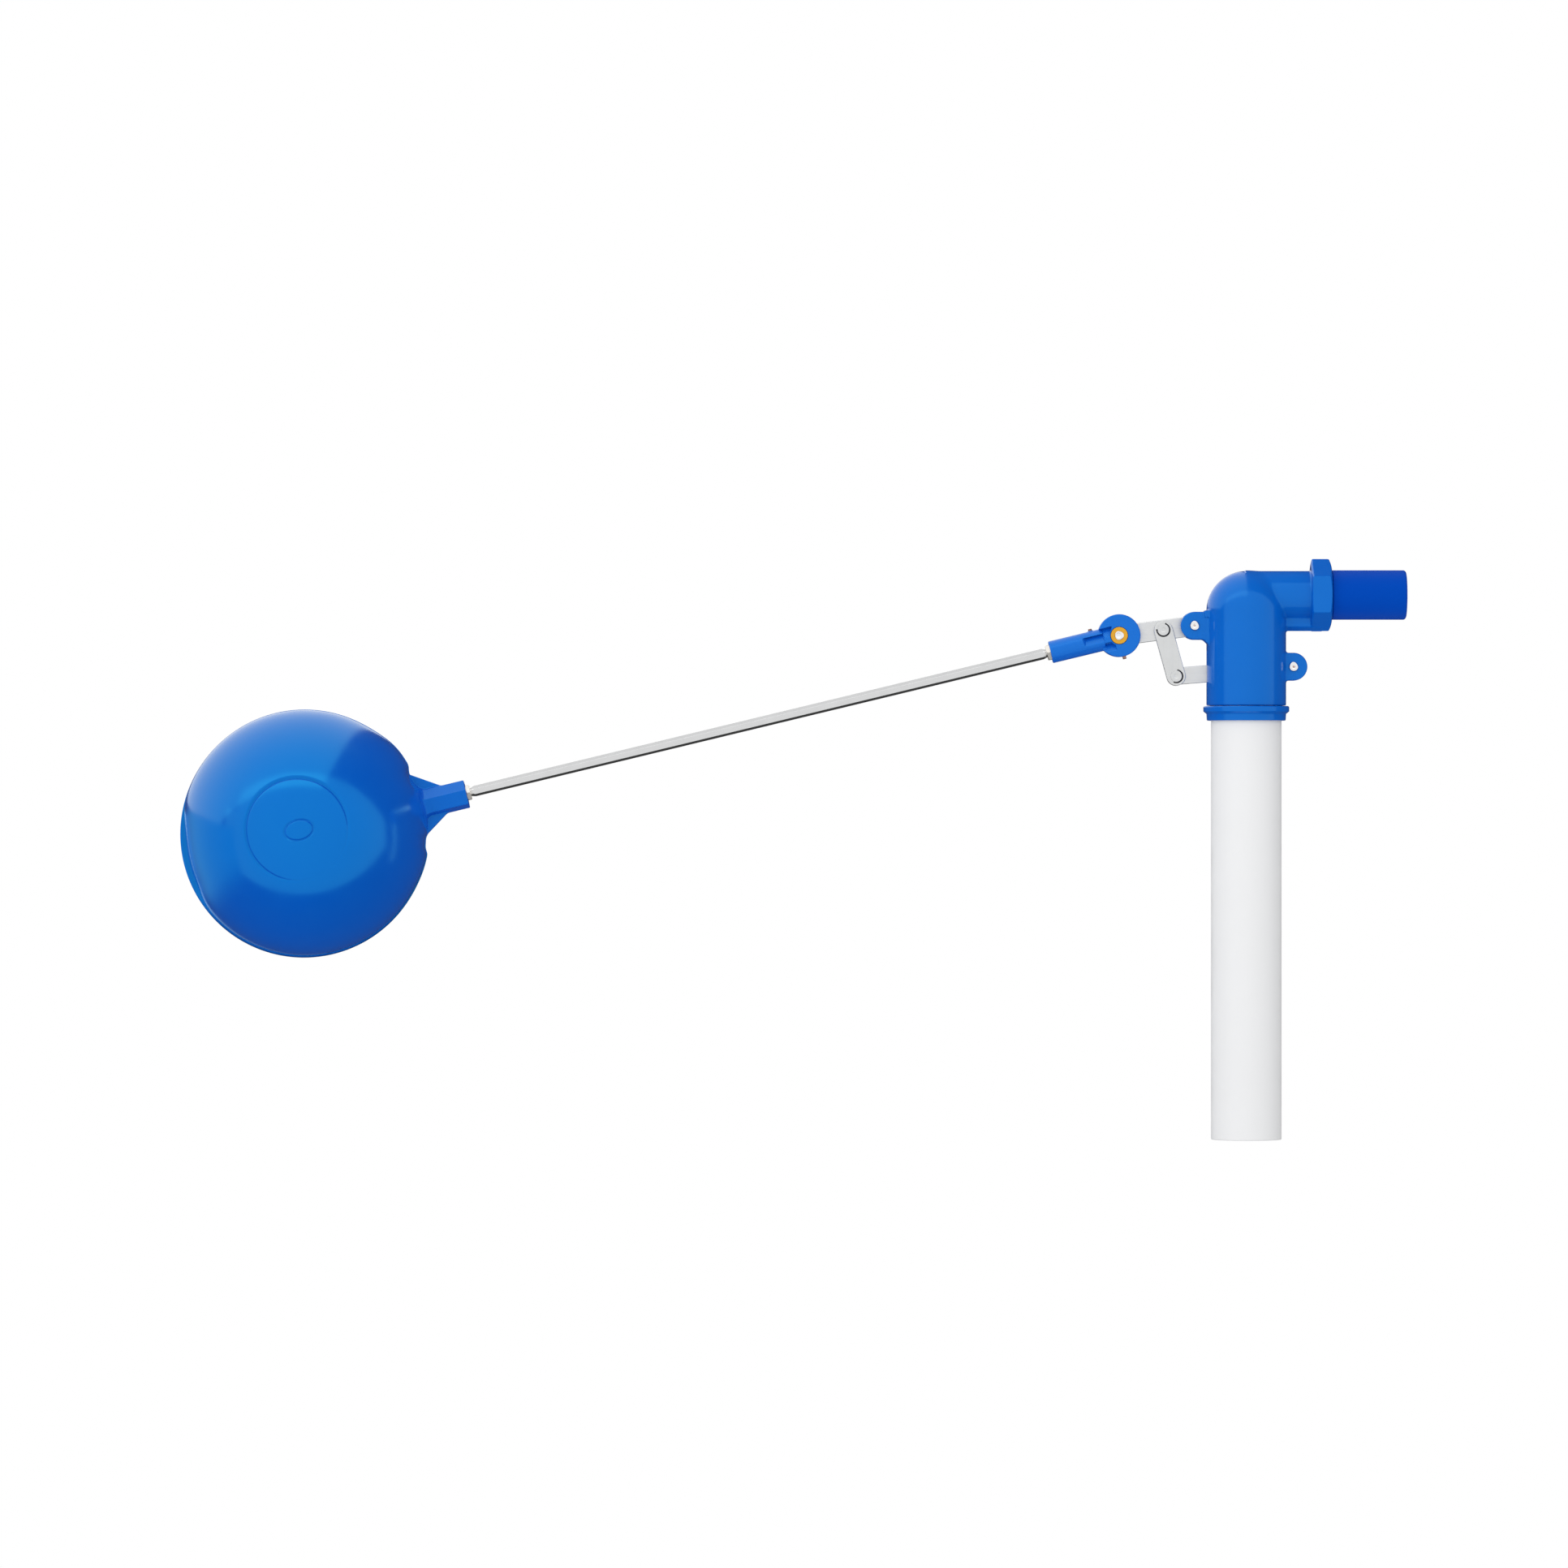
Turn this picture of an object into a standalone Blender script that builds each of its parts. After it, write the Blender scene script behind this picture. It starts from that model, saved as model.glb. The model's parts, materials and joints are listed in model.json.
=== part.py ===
"""Compound-lever float valve: plastic elbow body, stainless levers, hexagonal arm and ball float.

The origin is on the inlet axis, in the plane of the hexagon's outer shoulder.
+X runs out along the inlet, +Z is up, and the arm carries the float out to -X.
The valve is drawn open, with the float down on its stop.
"""

import math

import bmesh
import bpy
from mathutils import Matrix

MM = 0.001
DEGREE = math.pi / 180.0

# Fits between pieces
CLEARANCE = 0.3 * MM
PRESS_GAP = 0.15 * MM
PIN_PLAY = 0.2 * MM
SIDE_PLAY = 0.35 * MM
OVERLAP = 1.0 * MM

# Inlet spigot, its shank in the limb, and the hexagon round it
INLET_BORE = 17.0 * MM
SPIGOT_WALL = 4.5 * MM
SPIGOT_LENGTH = 39.2 * MM
SPIGOT_EDGE = 1.6 * MM
SHANK_WALL = 1.8 * MM
SHANK_LENGTH = 20.0 * MM
HEX_RIM = 3.5 * MM
HEX_LENGTH = 11.0 * MM
HEX_LAND = 2.3 * MM
HEX_CHAMFER_ANGLE = 20.0 * DEGREE

# Elbow body
LIMB_WALL = 2.0 * MM
LIMB_LENGTH = 12.8 * MM
WEB_THICKNESS = 8.0 * MM
BODY_WALL = 2.1 * MM
BODY_DROP = 58.1 * MM
TUBE_SOCKET_DEPTH = 10.0 * MM
PARTITION_THICKNESS = 8.0 * MM

# Discharge tube and the collar on it
TUBE_BORE = 33.0 * MM
TUBE_WALL = 2.0 * MM
TUBE_END_DROP = 286.1 * MM
BEAD_PROUD = 1.7 * MM
BEAD_HEIGHT = 4.1 * MM
SKIRT_INSET = 0.2 * MM
SKIRT_HEIGHT = 3.5 * MM

# Valve seat, plug and washer
SEAT_BORE = 12.0 * MM
SEAT_WALL = 2.0 * MM
SEAT_FLANGE_WIDTH = 3.0 * MM
SEAT_FLANGE_THICKNESS = 2.0 * MM
SEAT_LIP_WIDTH = 1.2 * MM
SEAT_LIP_HEIGHT = 1.0 * MM
PLUG_LIFT = 3.9 * MM
WASHER_MARGIN = 2.3 * MM
WASHER_THICKNESS = 3.0 * MM
CUP_WALL = 1.5 * MM
CUP_RIM_DEPTH = 1.0 * MM
CUP_FLOOR = 2.5 * MM
NOSE_RADIUS = 4.0 * MM
NOSE_CROWN = 1.2 * MM
FIN_THICKNESS = 2.0 * MM
FIN_LENGTH = 11.0 * MM
FIN_COUNT = 4
SCREW_OD = 4.0 * MM
SCREW_HEAD_MARGIN = 1.6 * MM
SCREW_HEAD_HEIGHT = 2.2 * MM
SCREW_LENGTH = 8.0 * MM

# Pivots: how far the two ears stand off the body wall, and how low they are
LEVER_PIVOT_REACH = 6.56 * MM
LEVER_PIVOT_DROP = 16.2 * MM
ROCKER_PIVOT_REACH = 3.67 * MM
ROCKER_PIVOT_DROP = 37.7 * MM
EAR_RIM = 5.1 * MM
EAR_THICKNESS = 3.5 * MM
EAR_BOSS_RIM = 2.8 * MM
PIN_OD = 4.0 * MM
PIN_HEAD_MARGIN = 0.6 * MM
PIN_HEAD_HEIGHT = 0.9 * MM

# Flat levers and links
LEVER_THICKNESS = 2.5 * MM
LEVER_WIDTH = 10.6 * MM
LEVER_LENGTH = 39.8 * MM
LEVER_CRANK = 16.36 * MM
LEVER_SLOPE = 7.45 * DEGREE
ROCKER_WIDTH = 9.0 * MM
ROCKER_LENGTH = 61.7 * MM
ROCKER_SLOPE = 4.64 * DEGREE
ROCKER_SWING = 9.2 * DEGREE
LINK_THICKNESS = 1.5 * MM
LINK_WIDTH = 11.4 * MM
RIVET_OD = 4.0 * MM
RIVET_HEAD_MARGIN = 1.4 * MM
RIVET_HEAD_HEIGHT = 0.75 * MM
LOOP_PLAY = 0.75 * MM

# Arm head: a slotted disc clamped on the lever, and a socket for the rod
ARM_SLOPE = 13.56 * DEGREE
DISC_RIM = 6.7 * MM
CHEEK_THICKNESS = 3.65 * MM
SLOT_FLOOR_GAP = 0.9 * MM
SOCKET_LENGTH = 36.3 * MM
SOCKET_WALL = 3.1 * MM
SOCKET_TAPER = 0.35 * MM
SOCKET_FLOOR = 12.0 * MM
POCKET_LENGTH = 13.0 * MM
POCKET_WIDTH = 5.0 * MM
POCKET_DEPTH = 1.6 * MM
INSERT_WALL = 2.3 * MM
INSERT_PROUD = 0.1 * MM
BOLT_OD = 4.0 * MM
BOLT_HEAD_AF = 7.0 * MM
BOLT_HEAD_HEIGHT = 2.8 * MM
BOLT_TIP_INSET = 0.2 * MM
BOLT_WASHER_MARGIN = 2.4 * MM
BOLT_WASHER_THICKNESS = 1.0 * MM
SET_SCREW_OD = 2.0 * MM
SET_SCREW_PROUD = 1.5 * MM
ROD_SCREW_OFFSET = 14.1 * MM

# Hexagonal rod, its threaded ends and lock nuts
ROD_THREAD_OD = 5.0 * MM
ROD_SHOULDER = 0.1 * MM
ROD_CHAMFER_LENGTH = 2.6 * MM
NUT_AF = 8.0 * MM
NUT_THICKNESS = 2.7 * MM

# Ball float
FLOAT_REACH = 441.0 * MM
FLOAT_ROLL = -2.7 * DEGREE
BALL_RADIUS = 62.4 * MM
BALL_WALL = 2.0 * MM
SEAM_WIDTH = 2.4 * MM
SEAM_THICKNESS = 1.4 * MM
POLE_DISC_RADIUS = 26.9 * MM
POLE_DISC_RISE = 0.6 * MM
BOSS_AF = 14.3 * MM
BOSS_LENGTH = 25.5 * MM
RIB_LENGTH = 14.2 * MM
RIB_SPREAD = 11.0 * MM
RIB_THICKNESS = 3.1 * MM
FLOAT_INSERT_WALL = 1.5 * MM
FLOAT_INSERT_LENGTH = 20.0 * MM

# Facets round a full turn and along an arc, and how the mesh is cleaned and shaded
LARGE_STEPS = 40
SMALL_STEPS = 20
ARC_STEPS = 8
EDGE_STEPS = 4
WELD_DISTANCE = 0.0001 * MM
SHARP_ANGLE = 35.0 * DEGREE

# Inlet and body sizes that follow
SPIGOT_RADIUS = INLET_BORE / 2 + SPIGOT_WALL
SHANK_RADIUS = INLET_BORE / 2 + SHANK_WALL
LIMB_RADIUS = SHANK_RADIUS + CLEARANCE + LIMB_WALL
HEX_CORNER = (SPIGOT_RADIUS + HEX_RIM) / math.cos(math.pi / 6)
TUBE_RADIUS = TUBE_BORE / 2 + TUBE_WALL
SOCKET_RADIUS = TUBE_RADIUS + CLEARANCE
BODY_RADIUS = SOCKET_RADIUS + BODY_WALL
AXIS_X = -(HEX_LENGTH + LIMB_LENGTH + BODY_RADIUS)
DOME_Z = LIMB_RADIUS - BODY_RADIUS
CHAMBER_TOP = -(INLET_BORE / 2 + PARTITION_THICKNESS)
SOCKET_TOP = TUBE_SOCKET_DEPTH - BODY_DROP

# Pivot points in the plane of the levers, as (x, z)
LEVER_PIVOT = (AXIS_X - BODY_RADIUS - LEVER_PIVOT_REACH, -LEVER_PIVOT_DROP)
ROCKER_PIVOT = (AXIS_X + BODY_RADIUS + ROCKER_PIVOT_REACH, -ROCKER_PIVOT_DROP)


def along(start, distance, slope):
    """Point at a distance from the start, towards -X and falling by the slope."""
    return (start[0] - distance * math.cos(slope), start[1] - distance * math.sin(slope))


CLAMP_PIVOT = along(LEVER_PIVOT, LEVER_LENGTH, LEVER_SLOPE)
LINK_PIVOT = along(LEVER_PIVOT, LEVER_CRANK, LEVER_SLOPE)
LINK_FOOT = along(ROCKER_PIVOT, ROCKER_LENGTH, ROCKER_SLOPE)
LINK_LENGTH = math.dist(LINK_PIVOT, LINK_FOOT)
LINK_LEAN = math.atan2(LINK_FOOT[0] - LINK_PIVOT[0], LINK_PIVOT[1] - LINK_FOOT[1])

# Layers outwards from the plane of the levers
LEVER_FACE = LEVER_THICKNESS / 2
LINK_INNER = LEVER_FACE + CLEARANCE
LINK_OUTER = LINK_INNER + LINK_THICKNESS
EAR_INNER = LINK_OUTER + SIDE_PLAY
EAR_OUTER = EAR_INNER + EAR_THICKNESS
ROCKER_EAR_INNER = LEVER_FACE + SIDE_PLAY
ROCKER_EAR_OUTER = ROCKER_EAR_INNER + EAR_THICKNESS
CHEEK_INNER = LEVER_FACE + CLEARANCE
CHEEK_OUTER = CHEEK_INNER + CHEEK_THICKNESS

# Heights inside the valve, with the plug down
SEAT_FLANGE_TOP = CHAMBER_TOP - PRESS_GAP
SEAT_FACE = SEAT_FLANGE_TOP - SEAT_FLANGE_THICKNESS - SEAT_LIP_HEIGHT
WASHER_TOP = SEAT_FACE - CLEARANCE - PLUG_LIFT
WASHER_BOTTOM = WASHER_TOP - WASHER_THICKNESS
CUP_FLOOR_TOP = WASHER_BOTTOM - PRESS_GAP
CUP_BOTTOM = CUP_FLOOR_TOP - CUP_FLOOR
ROCKER_CROSSING = -ROCKER_PIVOT_DROP - (ROCKER_PIVOT[0] - AXIS_X) * math.tan(ROCKER_SLOPE)
NOSE_TIP = ROCKER_CROSSING + ROCKER_WIDTH / 2 / math.cos(ROCKER_SLOPE) + CLEARANCE
SEAT_RADIUS = SEAT_BORE / 2 + SEAT_WALL
WASHER_RADIUS = SEAT_BORE / 2 + SEAT_LIP_WIDTH + WASHER_MARGIN
CUP_RADIUS = WASHER_RADIUS + PRESS_GAP + CUP_WALL

# Sizes along the arm, measured from the clamp pivot towards the float
THREAD_RADIUS = ROD_THREAD_OD / 2
ROD_FLAT = THREAD_RADIUS + ROD_SHOULDER
ROD_CORNER = ROD_FLAT / math.cos(math.pi / 6)
INSERT_RADIUS = BOLT_OD / 2 + PIN_PLAY + INSERT_WALL
DISC_RADIUS = INSERT_RADIUS + DISC_RIM
SOCKET_BORE_RADIUS = THREAD_RADIUS + CLEARANCE
SOCKET_END_RADIUS = SOCKET_BORE_RADIUS + SOCKET_WALL
SLOT_FLOOR = LEVER_WIDTH / 2 + SLOT_FLOOR_GAP
SEAM_RADIUS = BALL_RADIUS + SEAM_WIDTH
SEAM_FACE = SEAM_THICKNESS + PRESS_GAP
BOSS_END = BALL_RADIUS + BOSS_LENGTH
HEAD_NUT_START = SOCKET_LENGTH + PRESS_GAP
HEAD_ROD_START = HEAD_NUT_START + NUT_THICKNESS + PRESS_GAP
FLOAT_NUT_END = FLOAT_REACH - BOSS_END - PRESS_GAP
FLOAT_ROD_END = FLOAT_NUT_END - NUT_THICKNESS - PRESS_GAP

# Colours as linear red, green and blue, then roughness and metallic value
BLUE_PLASTIC = ((0.010, 0.155, 0.57), 0.32, 0.0)
DARK_BLUE_PLASTIC = ((0.003, 0.070, 0.44), 0.5, 0.0)
WHITE_PLASTIC = ((0.86, 0.87, 0.88), 0.45, 0.0)
CLEAR_WHITE_ACETAL = ((0.80, 0.80, 0.76), 0.4, 0.0)
STAINLESS = ((0.66, 0.67, 0.68), 0.28, 1.0)
BRASS = ((0.72, 0.44, 0.10), 0.3, 1.0)
RUBBER = ((0.02, 0.02, 0.02), 0.8, 0.0)


def new_object(name, bm):
    """Turn a bmesh into an object with clean, outward faces."""
    bmesh.ops.remove_doubles(bm, verts=bm.verts, dist=WELD_DISTANCE)
    bmesh.ops.recalc_face_normals(bm, faces=bm.faces)
    mesh = bpy.data.meshes.new(name)
    bm.to_mesh(mesh)
    bm.free()
    obj = bpy.data.objects.new(name, mesh)
    bpy.context.scene.collection.objects.link(obj)
    return obj


def axis_turn(axis):
    """Rotation that lays the +Z of a turned shape along the named axis."""
    if axis == "X":
        return Matrix.Rotation(math.pi / 2, 4, "Y")
    if axis == "Y":
        return Matrix.Rotation(-math.pi / 2, 4, "X")
    return Matrix.Identity(4)


def is_flat_centre(vert):
    """True for the middle of a flat end, where the fan of faces can be one face."""
    if math.hypot(vert.co.x, vert.co.y) > 0.0:
        return False
    return all(edge.other_vert(vert).co.z == vert.co.z for edge in vert.link_edges)


def turned(name, profile, axis="Z", steps=LARGE_STEPS, centre=(0.0, 0.0, 0.0), phase=0.0):
    """Spin a closed outline of (radius, height) points about an axis through the centre."""
    bm = bmesh.new()
    verts = [bm.verts.new((radius, 0.0, height)) for radius, height in profile]
    edges = []
    for first, second in zip(verts, verts[1:] + verts[:1]):
        if first.co.x > 0.0 or second.co.x > 0.0:
            edges.append(bm.edges.new((first, second)))
    bmesh.ops.spin(
        bm, geom=verts + edges, cent=(0, 0, 0), axis=(0, 0, 1), angle=2 * math.pi, steps=steps, use_merge=True
    )
    bmesh.ops.remove_doubles(bm, verts=bm.verts, dist=WELD_DISTANCE)
    bmesh.ops.dissolve_verts(bm, verts=[vert for vert in bm.verts if is_flat_centre(vert)])
    place = Matrix.Translation(centre) @ axis_turn(axis) @ Matrix.Rotation(phase, 4, "Z")
    bm.transform(place)
    return new_object(name, bm)


def rod_shape(name, radius, start, end, axis, centre=(0.0, 0.0, 0.0), steps=SMALL_STEPS, phase=0.0):
    """Plain cylinder, or with few steps a prism, between two heights on an axis."""
    profile = [(0.0, start), (radius, start), (radius, end), (0.0, end)]
    return turned(name, profile, axis, steps, centre, phase)


def block(name, low, high):
    """Box between two corners."""
    bm = bmesh.new()
    bmesh.ops.create_cube(bm, size=1.0)
    size = [b - a for a, b in zip(low, high)]
    middle = [(a + b) / 2 for a, b in zip(low, high)]
    bm.transform(Matrix.Translation(middle) @ Matrix.Diagonal((*size, 1.0)))
    return new_object(name, bm)


def plate(name, outline, near, far):
    """Extrude an outline of (x, z) points along Y, from near to far."""
    bm = bmesh.new()
    face = bm.faces.new([bm.verts.new((x, near, z)) for x, z in outline])
    extruded = bmesh.ops.extrude_face_region(bm, geom=[face])
    moved = [item for item in extruded["geom"] if isinstance(item, bmesh.types.BMVert)]
    bmesh.ops.translate(bm, vec=(0.0, far - near, 0.0), verts=moved)
    return new_object(name, bm)


def arc(centre, radius, start, end, steps=ARC_STEPS):
    """Points of (x, z) round a centre from one angle to another."""
    angles = [start + (end - start) * step / steps for step in range(steps + 1)]
    return [(centre[0] + radius * math.cos(a), centre[1] + radius * math.sin(a)) for a in angles]


def bar_outline(start, end, radius):
    """Straight bar with round ends between two (x, z) points."""
    heading = math.atan2(end[1] - start[1], end[0] - start[0])
    first = arc(start, radius, heading + math.pi / 2, heading + 3 * math.pi / 2)
    second = arc(end, radius, heading - math.pi / 2, heading + math.pi / 2)
    return first + second


def combine(target, operation, *tools):
    """Join, cut or intersect the target with each tool in turn, and remove the tools."""
    for tool in tools:
        modifier = target.modifiers.new("combine", "BOOLEAN")
        modifier.operation = operation
        modifier.solver = "EXACT"
        modifier.object = tool
        depsgraph = bpy.context.evaluated_depsgraph_get()
        old = target.data
        target.data = bpy.data.meshes.new_from_object(target.evaluated_get(depsgraph))
        target.modifiers.remove(modifier)
        bpy.data.meshes.remove(old)
        bpy.data.objects.remove(tool)
    return target


def finish(obj, look, frame=None):
    """Shade the piece, give it its own material, and hang it on its frame."""
    colour, roughness, metallic = look
    material = bpy.data.materials.new(obj.name)
    material.use_nodes = True
    shader = material.node_tree.nodes["Principled BSDF"]
    shader.inputs["Base Color"].default_value = (*colour, 1.0)
    shader.inputs["Roughness"].default_value = roughness
    shader.inputs["Metallic"].default_value = metallic
    obj.data.materials.clear()
    obj.data.materials.append(material)
    obj.data.name = obj.name
    obj.data.shade_smooth()
    obj.data.set_sharp_from_angle(angle=SHARP_ANGLE)
    obj.parent = frame
    return obj


def frame_at(name, point, tilt, parent=None, roll=0.0):
    """Empty on a joint's axis, with local -X falling by the tilt."""
    empty = bpy.data.objects.new(name, None)
    bpy.context.scene.collection.objects.link(empty)
    empty.location = point
    empty.rotation_euler = (roll, -tilt, 0.0)
    empty.parent = parent
    return empty


def pin_hole(pivot, radius, reach):
    """Cutter for a hole along Y at a pivot."""
    return rod_shape("hole", radius, -reach, reach, "Y", (pivot[0], 0.0, pivot[1]))


def hexagon_collar(name):
    """Hexagon with corners up and down, its outer corners turned off to a shallow cone."""
    collar = rod_shape(name, HEX_CORNER, -HEX_LENGTH, 0.0, "X", steps=6)
    land = SPIGOT_RADIUS + HEX_LAND
    reach = HEX_CORNER + OVERLAP
    fall = (reach - land) * math.tan(HEX_CHAMFER_ANGLE)
    back = -HEX_LENGTH - OVERLAP
    profile = [(0.0, back), (reach, back), (reach, -fall), (land, 0.0), (0.0, 0.0)]
    return combine(collar, "INTERSECT", turned("cone", profile, "X"))


def limb_web():
    """Stiffening web under the limb, with the same foot as the hexagon."""
    web = rod_shape("web", HEX_CORNER, AXIS_X, -HEX_LENGTH / 2, "X", steps=6)
    half = WEB_THICKNESS / 2
    keep = block("keep", (AXIS_X - OVERLAP, -half, -HEX_CORNER - OVERLAP), (0.0, half, 0.0))
    return combine(web, "INTERSECT", keep)


def ear_pair(pivot, inner, boss_inner):
    """Two ears that carry a pin, run back into the body wall."""
    radius = PIN_OD / 2 + PIN_PLAY + EAR_RIM
    boss_radius = PIN_OD / 2 + PIN_PLAY + EAR_BOSS_RIM
    root = (AXIS_X, pivot[1])
    ears = []
    for side in (-1, 1):
        outline = bar_outline(pivot, root, radius)
        ears.append(plate("ear", outline, side * inner, side * (inner + EAR_THICKNESS)))
        if boss_inner < inner:
            centre = (pivot[0], 0.0, pivot[1])
            start, end = sorted((side * boss_inner, side * (inner + OVERLAP)))
            ears.append(rod_shape("boss", boss_radius, start, end, "Y", centre))
    return ears


def body_waterways():
    """Cutters for the chamber with its tube socket, the inlet bore and the seat's throat."""
    below = -BODY_DROP - OVERLAP
    chamber = [(0.0, CHAMBER_TOP), (TUBE_BORE / 2, CHAMBER_TOP), (TUBE_BORE / 2, SOCKET_TOP)]
    chamber += [(SOCKET_RADIUS, SOCKET_TOP), (SOCKET_RADIUS, below), (0.0, below)]
    bore = INLET_BORE / 2
    shank_bore = SHANK_RADIUS + CLEARANCE
    shank_end = -SHANK_LENGTH - CLEARANCE
    inlet = [(radius, AXIS_X - depth) for depth, radius in arc((0.0, 0.0), bore, 0.0, math.pi / 2)]
    inlet[0] = (0.0, AXIS_X - bore)
    inlet += [(bore, shank_end), (shank_bore, shank_end), (shank_bore, OVERLAP), (0.0, OVERLAP)]
    centre = (AXIS_X, 0.0, 0.0)
    return [
        turned("chamber", chamber, "Z", LARGE_STEPS, centre),
        turned("inlet", inlet, "X", LARGE_STEPS),
        rod_shape("throat", SEAT_RADIUS + PRESS_GAP, CHAMBER_TOP - OVERLAP, 0.0, "Z", centre, LARGE_STEPS),
    ]


def rocker_slots():
    """Cutters for the slots that let the rocker through the two sides of the chamber."""
    half = ROCKER_EAR_INNER
    half_width = ROCKER_WIDTH / 2 / math.cos(max(ROCKER_SLOPE, ROCKER_SWING - ROCKER_SLOPE)) + CLEARANCE
    reach = ROCKER_PIVOT[0] - (AXIS_X - BODY_RADIUS)
    low = ROCKER_PIVOT[1] - reach * math.tan(ROCKER_SLOPE) - half_width
    high = ROCKER_PIVOT[1] + reach * math.tan(ROCKER_SWING - ROCKER_SLOPE) + half_width
    left = block("slot", (AXIS_X - BODY_RADIUS - OVERLAP, -half, low), (AXIS_X, half, high))
    end_radius = ROCKER_WIDTH / 2 + CLEARANCE
    inner_reach = ROCKER_PIVOT[0] - AXIS_X
    right_low = ROCKER_PIVOT[1] - inner_reach * math.tan(ROCKER_SLOPE) - end_radius
    right_high = ROCKER_PIVOT[1] + inner_reach * math.tan(ROCKER_SWING) + end_radius
    right_end = AXIS_X + BODY_RADIUS + OVERLAP
    right = block("slot", (AXIS_X, -half, right_low), (right_end, half, right_high))
    return [left, right]


def valve_body():
    """Elbow with a domed vertical chamber, a limb to the hexagon, a web and two pairs of ears."""
    outline = [(0.0, DOME_Z + BODY_RADIUS)]
    outline += arc((0.0, DOME_Z), BODY_RADIUS, math.pi / 2, 0.0)[1:]
    outline += [(BODY_RADIUS, -BODY_DROP), (0.0, -BODY_DROP)]
    body = turned("valve_body", outline, "Z", LARGE_STEPS, (AXIS_X, 0.0, 0.0))
    limb = rod_shape("limb", LIMB_RADIUS, AXIS_X, -HEX_LENGTH / 2, "X", steps=LARGE_STEPS)
    combine(body, "UNION", limb, limb_web(), hexagon_collar("collar"))
    combine(body, "UNION", *ear_pair(LEVER_PIVOT, EAR_INNER, LINK_INNER))
    combine(body, "UNION", *ear_pair(ROCKER_PIVOT, ROCKER_EAR_INNER, ROCKER_EAR_INNER))
    combine(body, "DIFFERENCE", *body_waterways(), *rocker_slots())
    hole = PIN_OD / 2 + PIN_PLAY
    combine(body, "DIFFERENCE", pin_hole(LEVER_PIVOT, hole, BODY_RADIUS))
    combine(body, "DIFFERENCE", pin_hole(ROCKER_PIVOT, hole, BODY_RADIUS))
    finish(body, BLUE_PLASTIC)


def inlet_spigot():
    """Pipe tail that stands out of the hexagon, with a shank fixed in the limb."""
    bore = INLET_BORE / 2
    shoulder = CLEARANCE
    profile = [(bore, -SHANK_LENGTH), (SHANK_RADIUS, -SHANK_LENGTH), (SHANK_RADIUS, shoulder)]
    profile += [(SPIGOT_RADIUS, shoulder)]
    corner = (SPIGOT_LENGTH - SPIGOT_EDGE, SPIGOT_RADIUS - SPIGOT_EDGE)
    profile += [(r, x) for x, r in arc(corner, SPIGOT_EDGE, math.pi / 2, 0.0, EDGE_STEPS)]
    profile += [(bore, SPIGOT_LENGTH)]
    finish(turned("inlet_spigot", profile, "X"), DARK_BLUE_PLASTIC)


def seat_ring():
    """Ring pressed up into the partition, with a raised lip for the washer."""
    bore = SEAT_BORE / 2
    flange = SEAT_RADIUS + SEAT_FLANGE_WIDTH
    top = CHAMBER_TOP + PARTITION_THICKNESS - CLEARANCE
    flange_bottom = SEAT_FLANGE_TOP - SEAT_FLANGE_THICKNESS
    lip = bore + SEAT_LIP_WIDTH
    profile = [(bore, top), (SEAT_RADIUS, top), (SEAT_RADIUS, SEAT_FLANGE_TOP), (flange, SEAT_FLANGE_TOP)]
    profile += [(flange, flange_bottom), (lip, flange_bottom), (lip, SEAT_FACE), (bore, SEAT_FACE)]
    finish(turned("seat_ring", profile, "Z", LARGE_STEPS, (AXIS_X, 0.0, 0.0)), BRASS)


def discharge_tube():
    """White tube pushed up into the body."""
    top = SOCKET_TOP - CLEARANCE
    inner = TUBE_BORE / 2
    profile = [(inner, top), (TUBE_RADIUS, top), (TUBE_RADIUS, -TUBE_END_DROP), (inner, -TUBE_END_DROP)]
    finish(turned("discharge_tube", profile, "Z", LARGE_STEPS, (AXIS_X, 0.0, 0.0)), WHITE_PLASTIC)


def outlet_collar():
    """Beaded ring round the tube, up against the foot of the body."""
    top = -BODY_DROP - CLEARANCE
    middle = top - BEAD_HEIGHT
    bottom = middle - SKIRT_HEIGHT
    skirt = BODY_RADIUS - SKIRT_INSET
    bead = BODY_RADIUS + BEAD_PROUD
    centre = (bead - BEAD_HEIGHT / 2, top - BEAD_HEIGHT / 2)
    profile = [(SOCKET_RADIUS, bottom), (SOCKET_RADIUS, top)]
    profile += arc(centre, BEAD_HEIGHT / 2, math.pi / 2, -math.pi / 2)
    profile += [(skirt, middle), (skirt, bottom)]
    finish(turned("outlet_collar", profile, "Z", LARGE_STEPS, (AXIS_X, 0.0, 0.0)), BLUE_PLASTIC)


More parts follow.
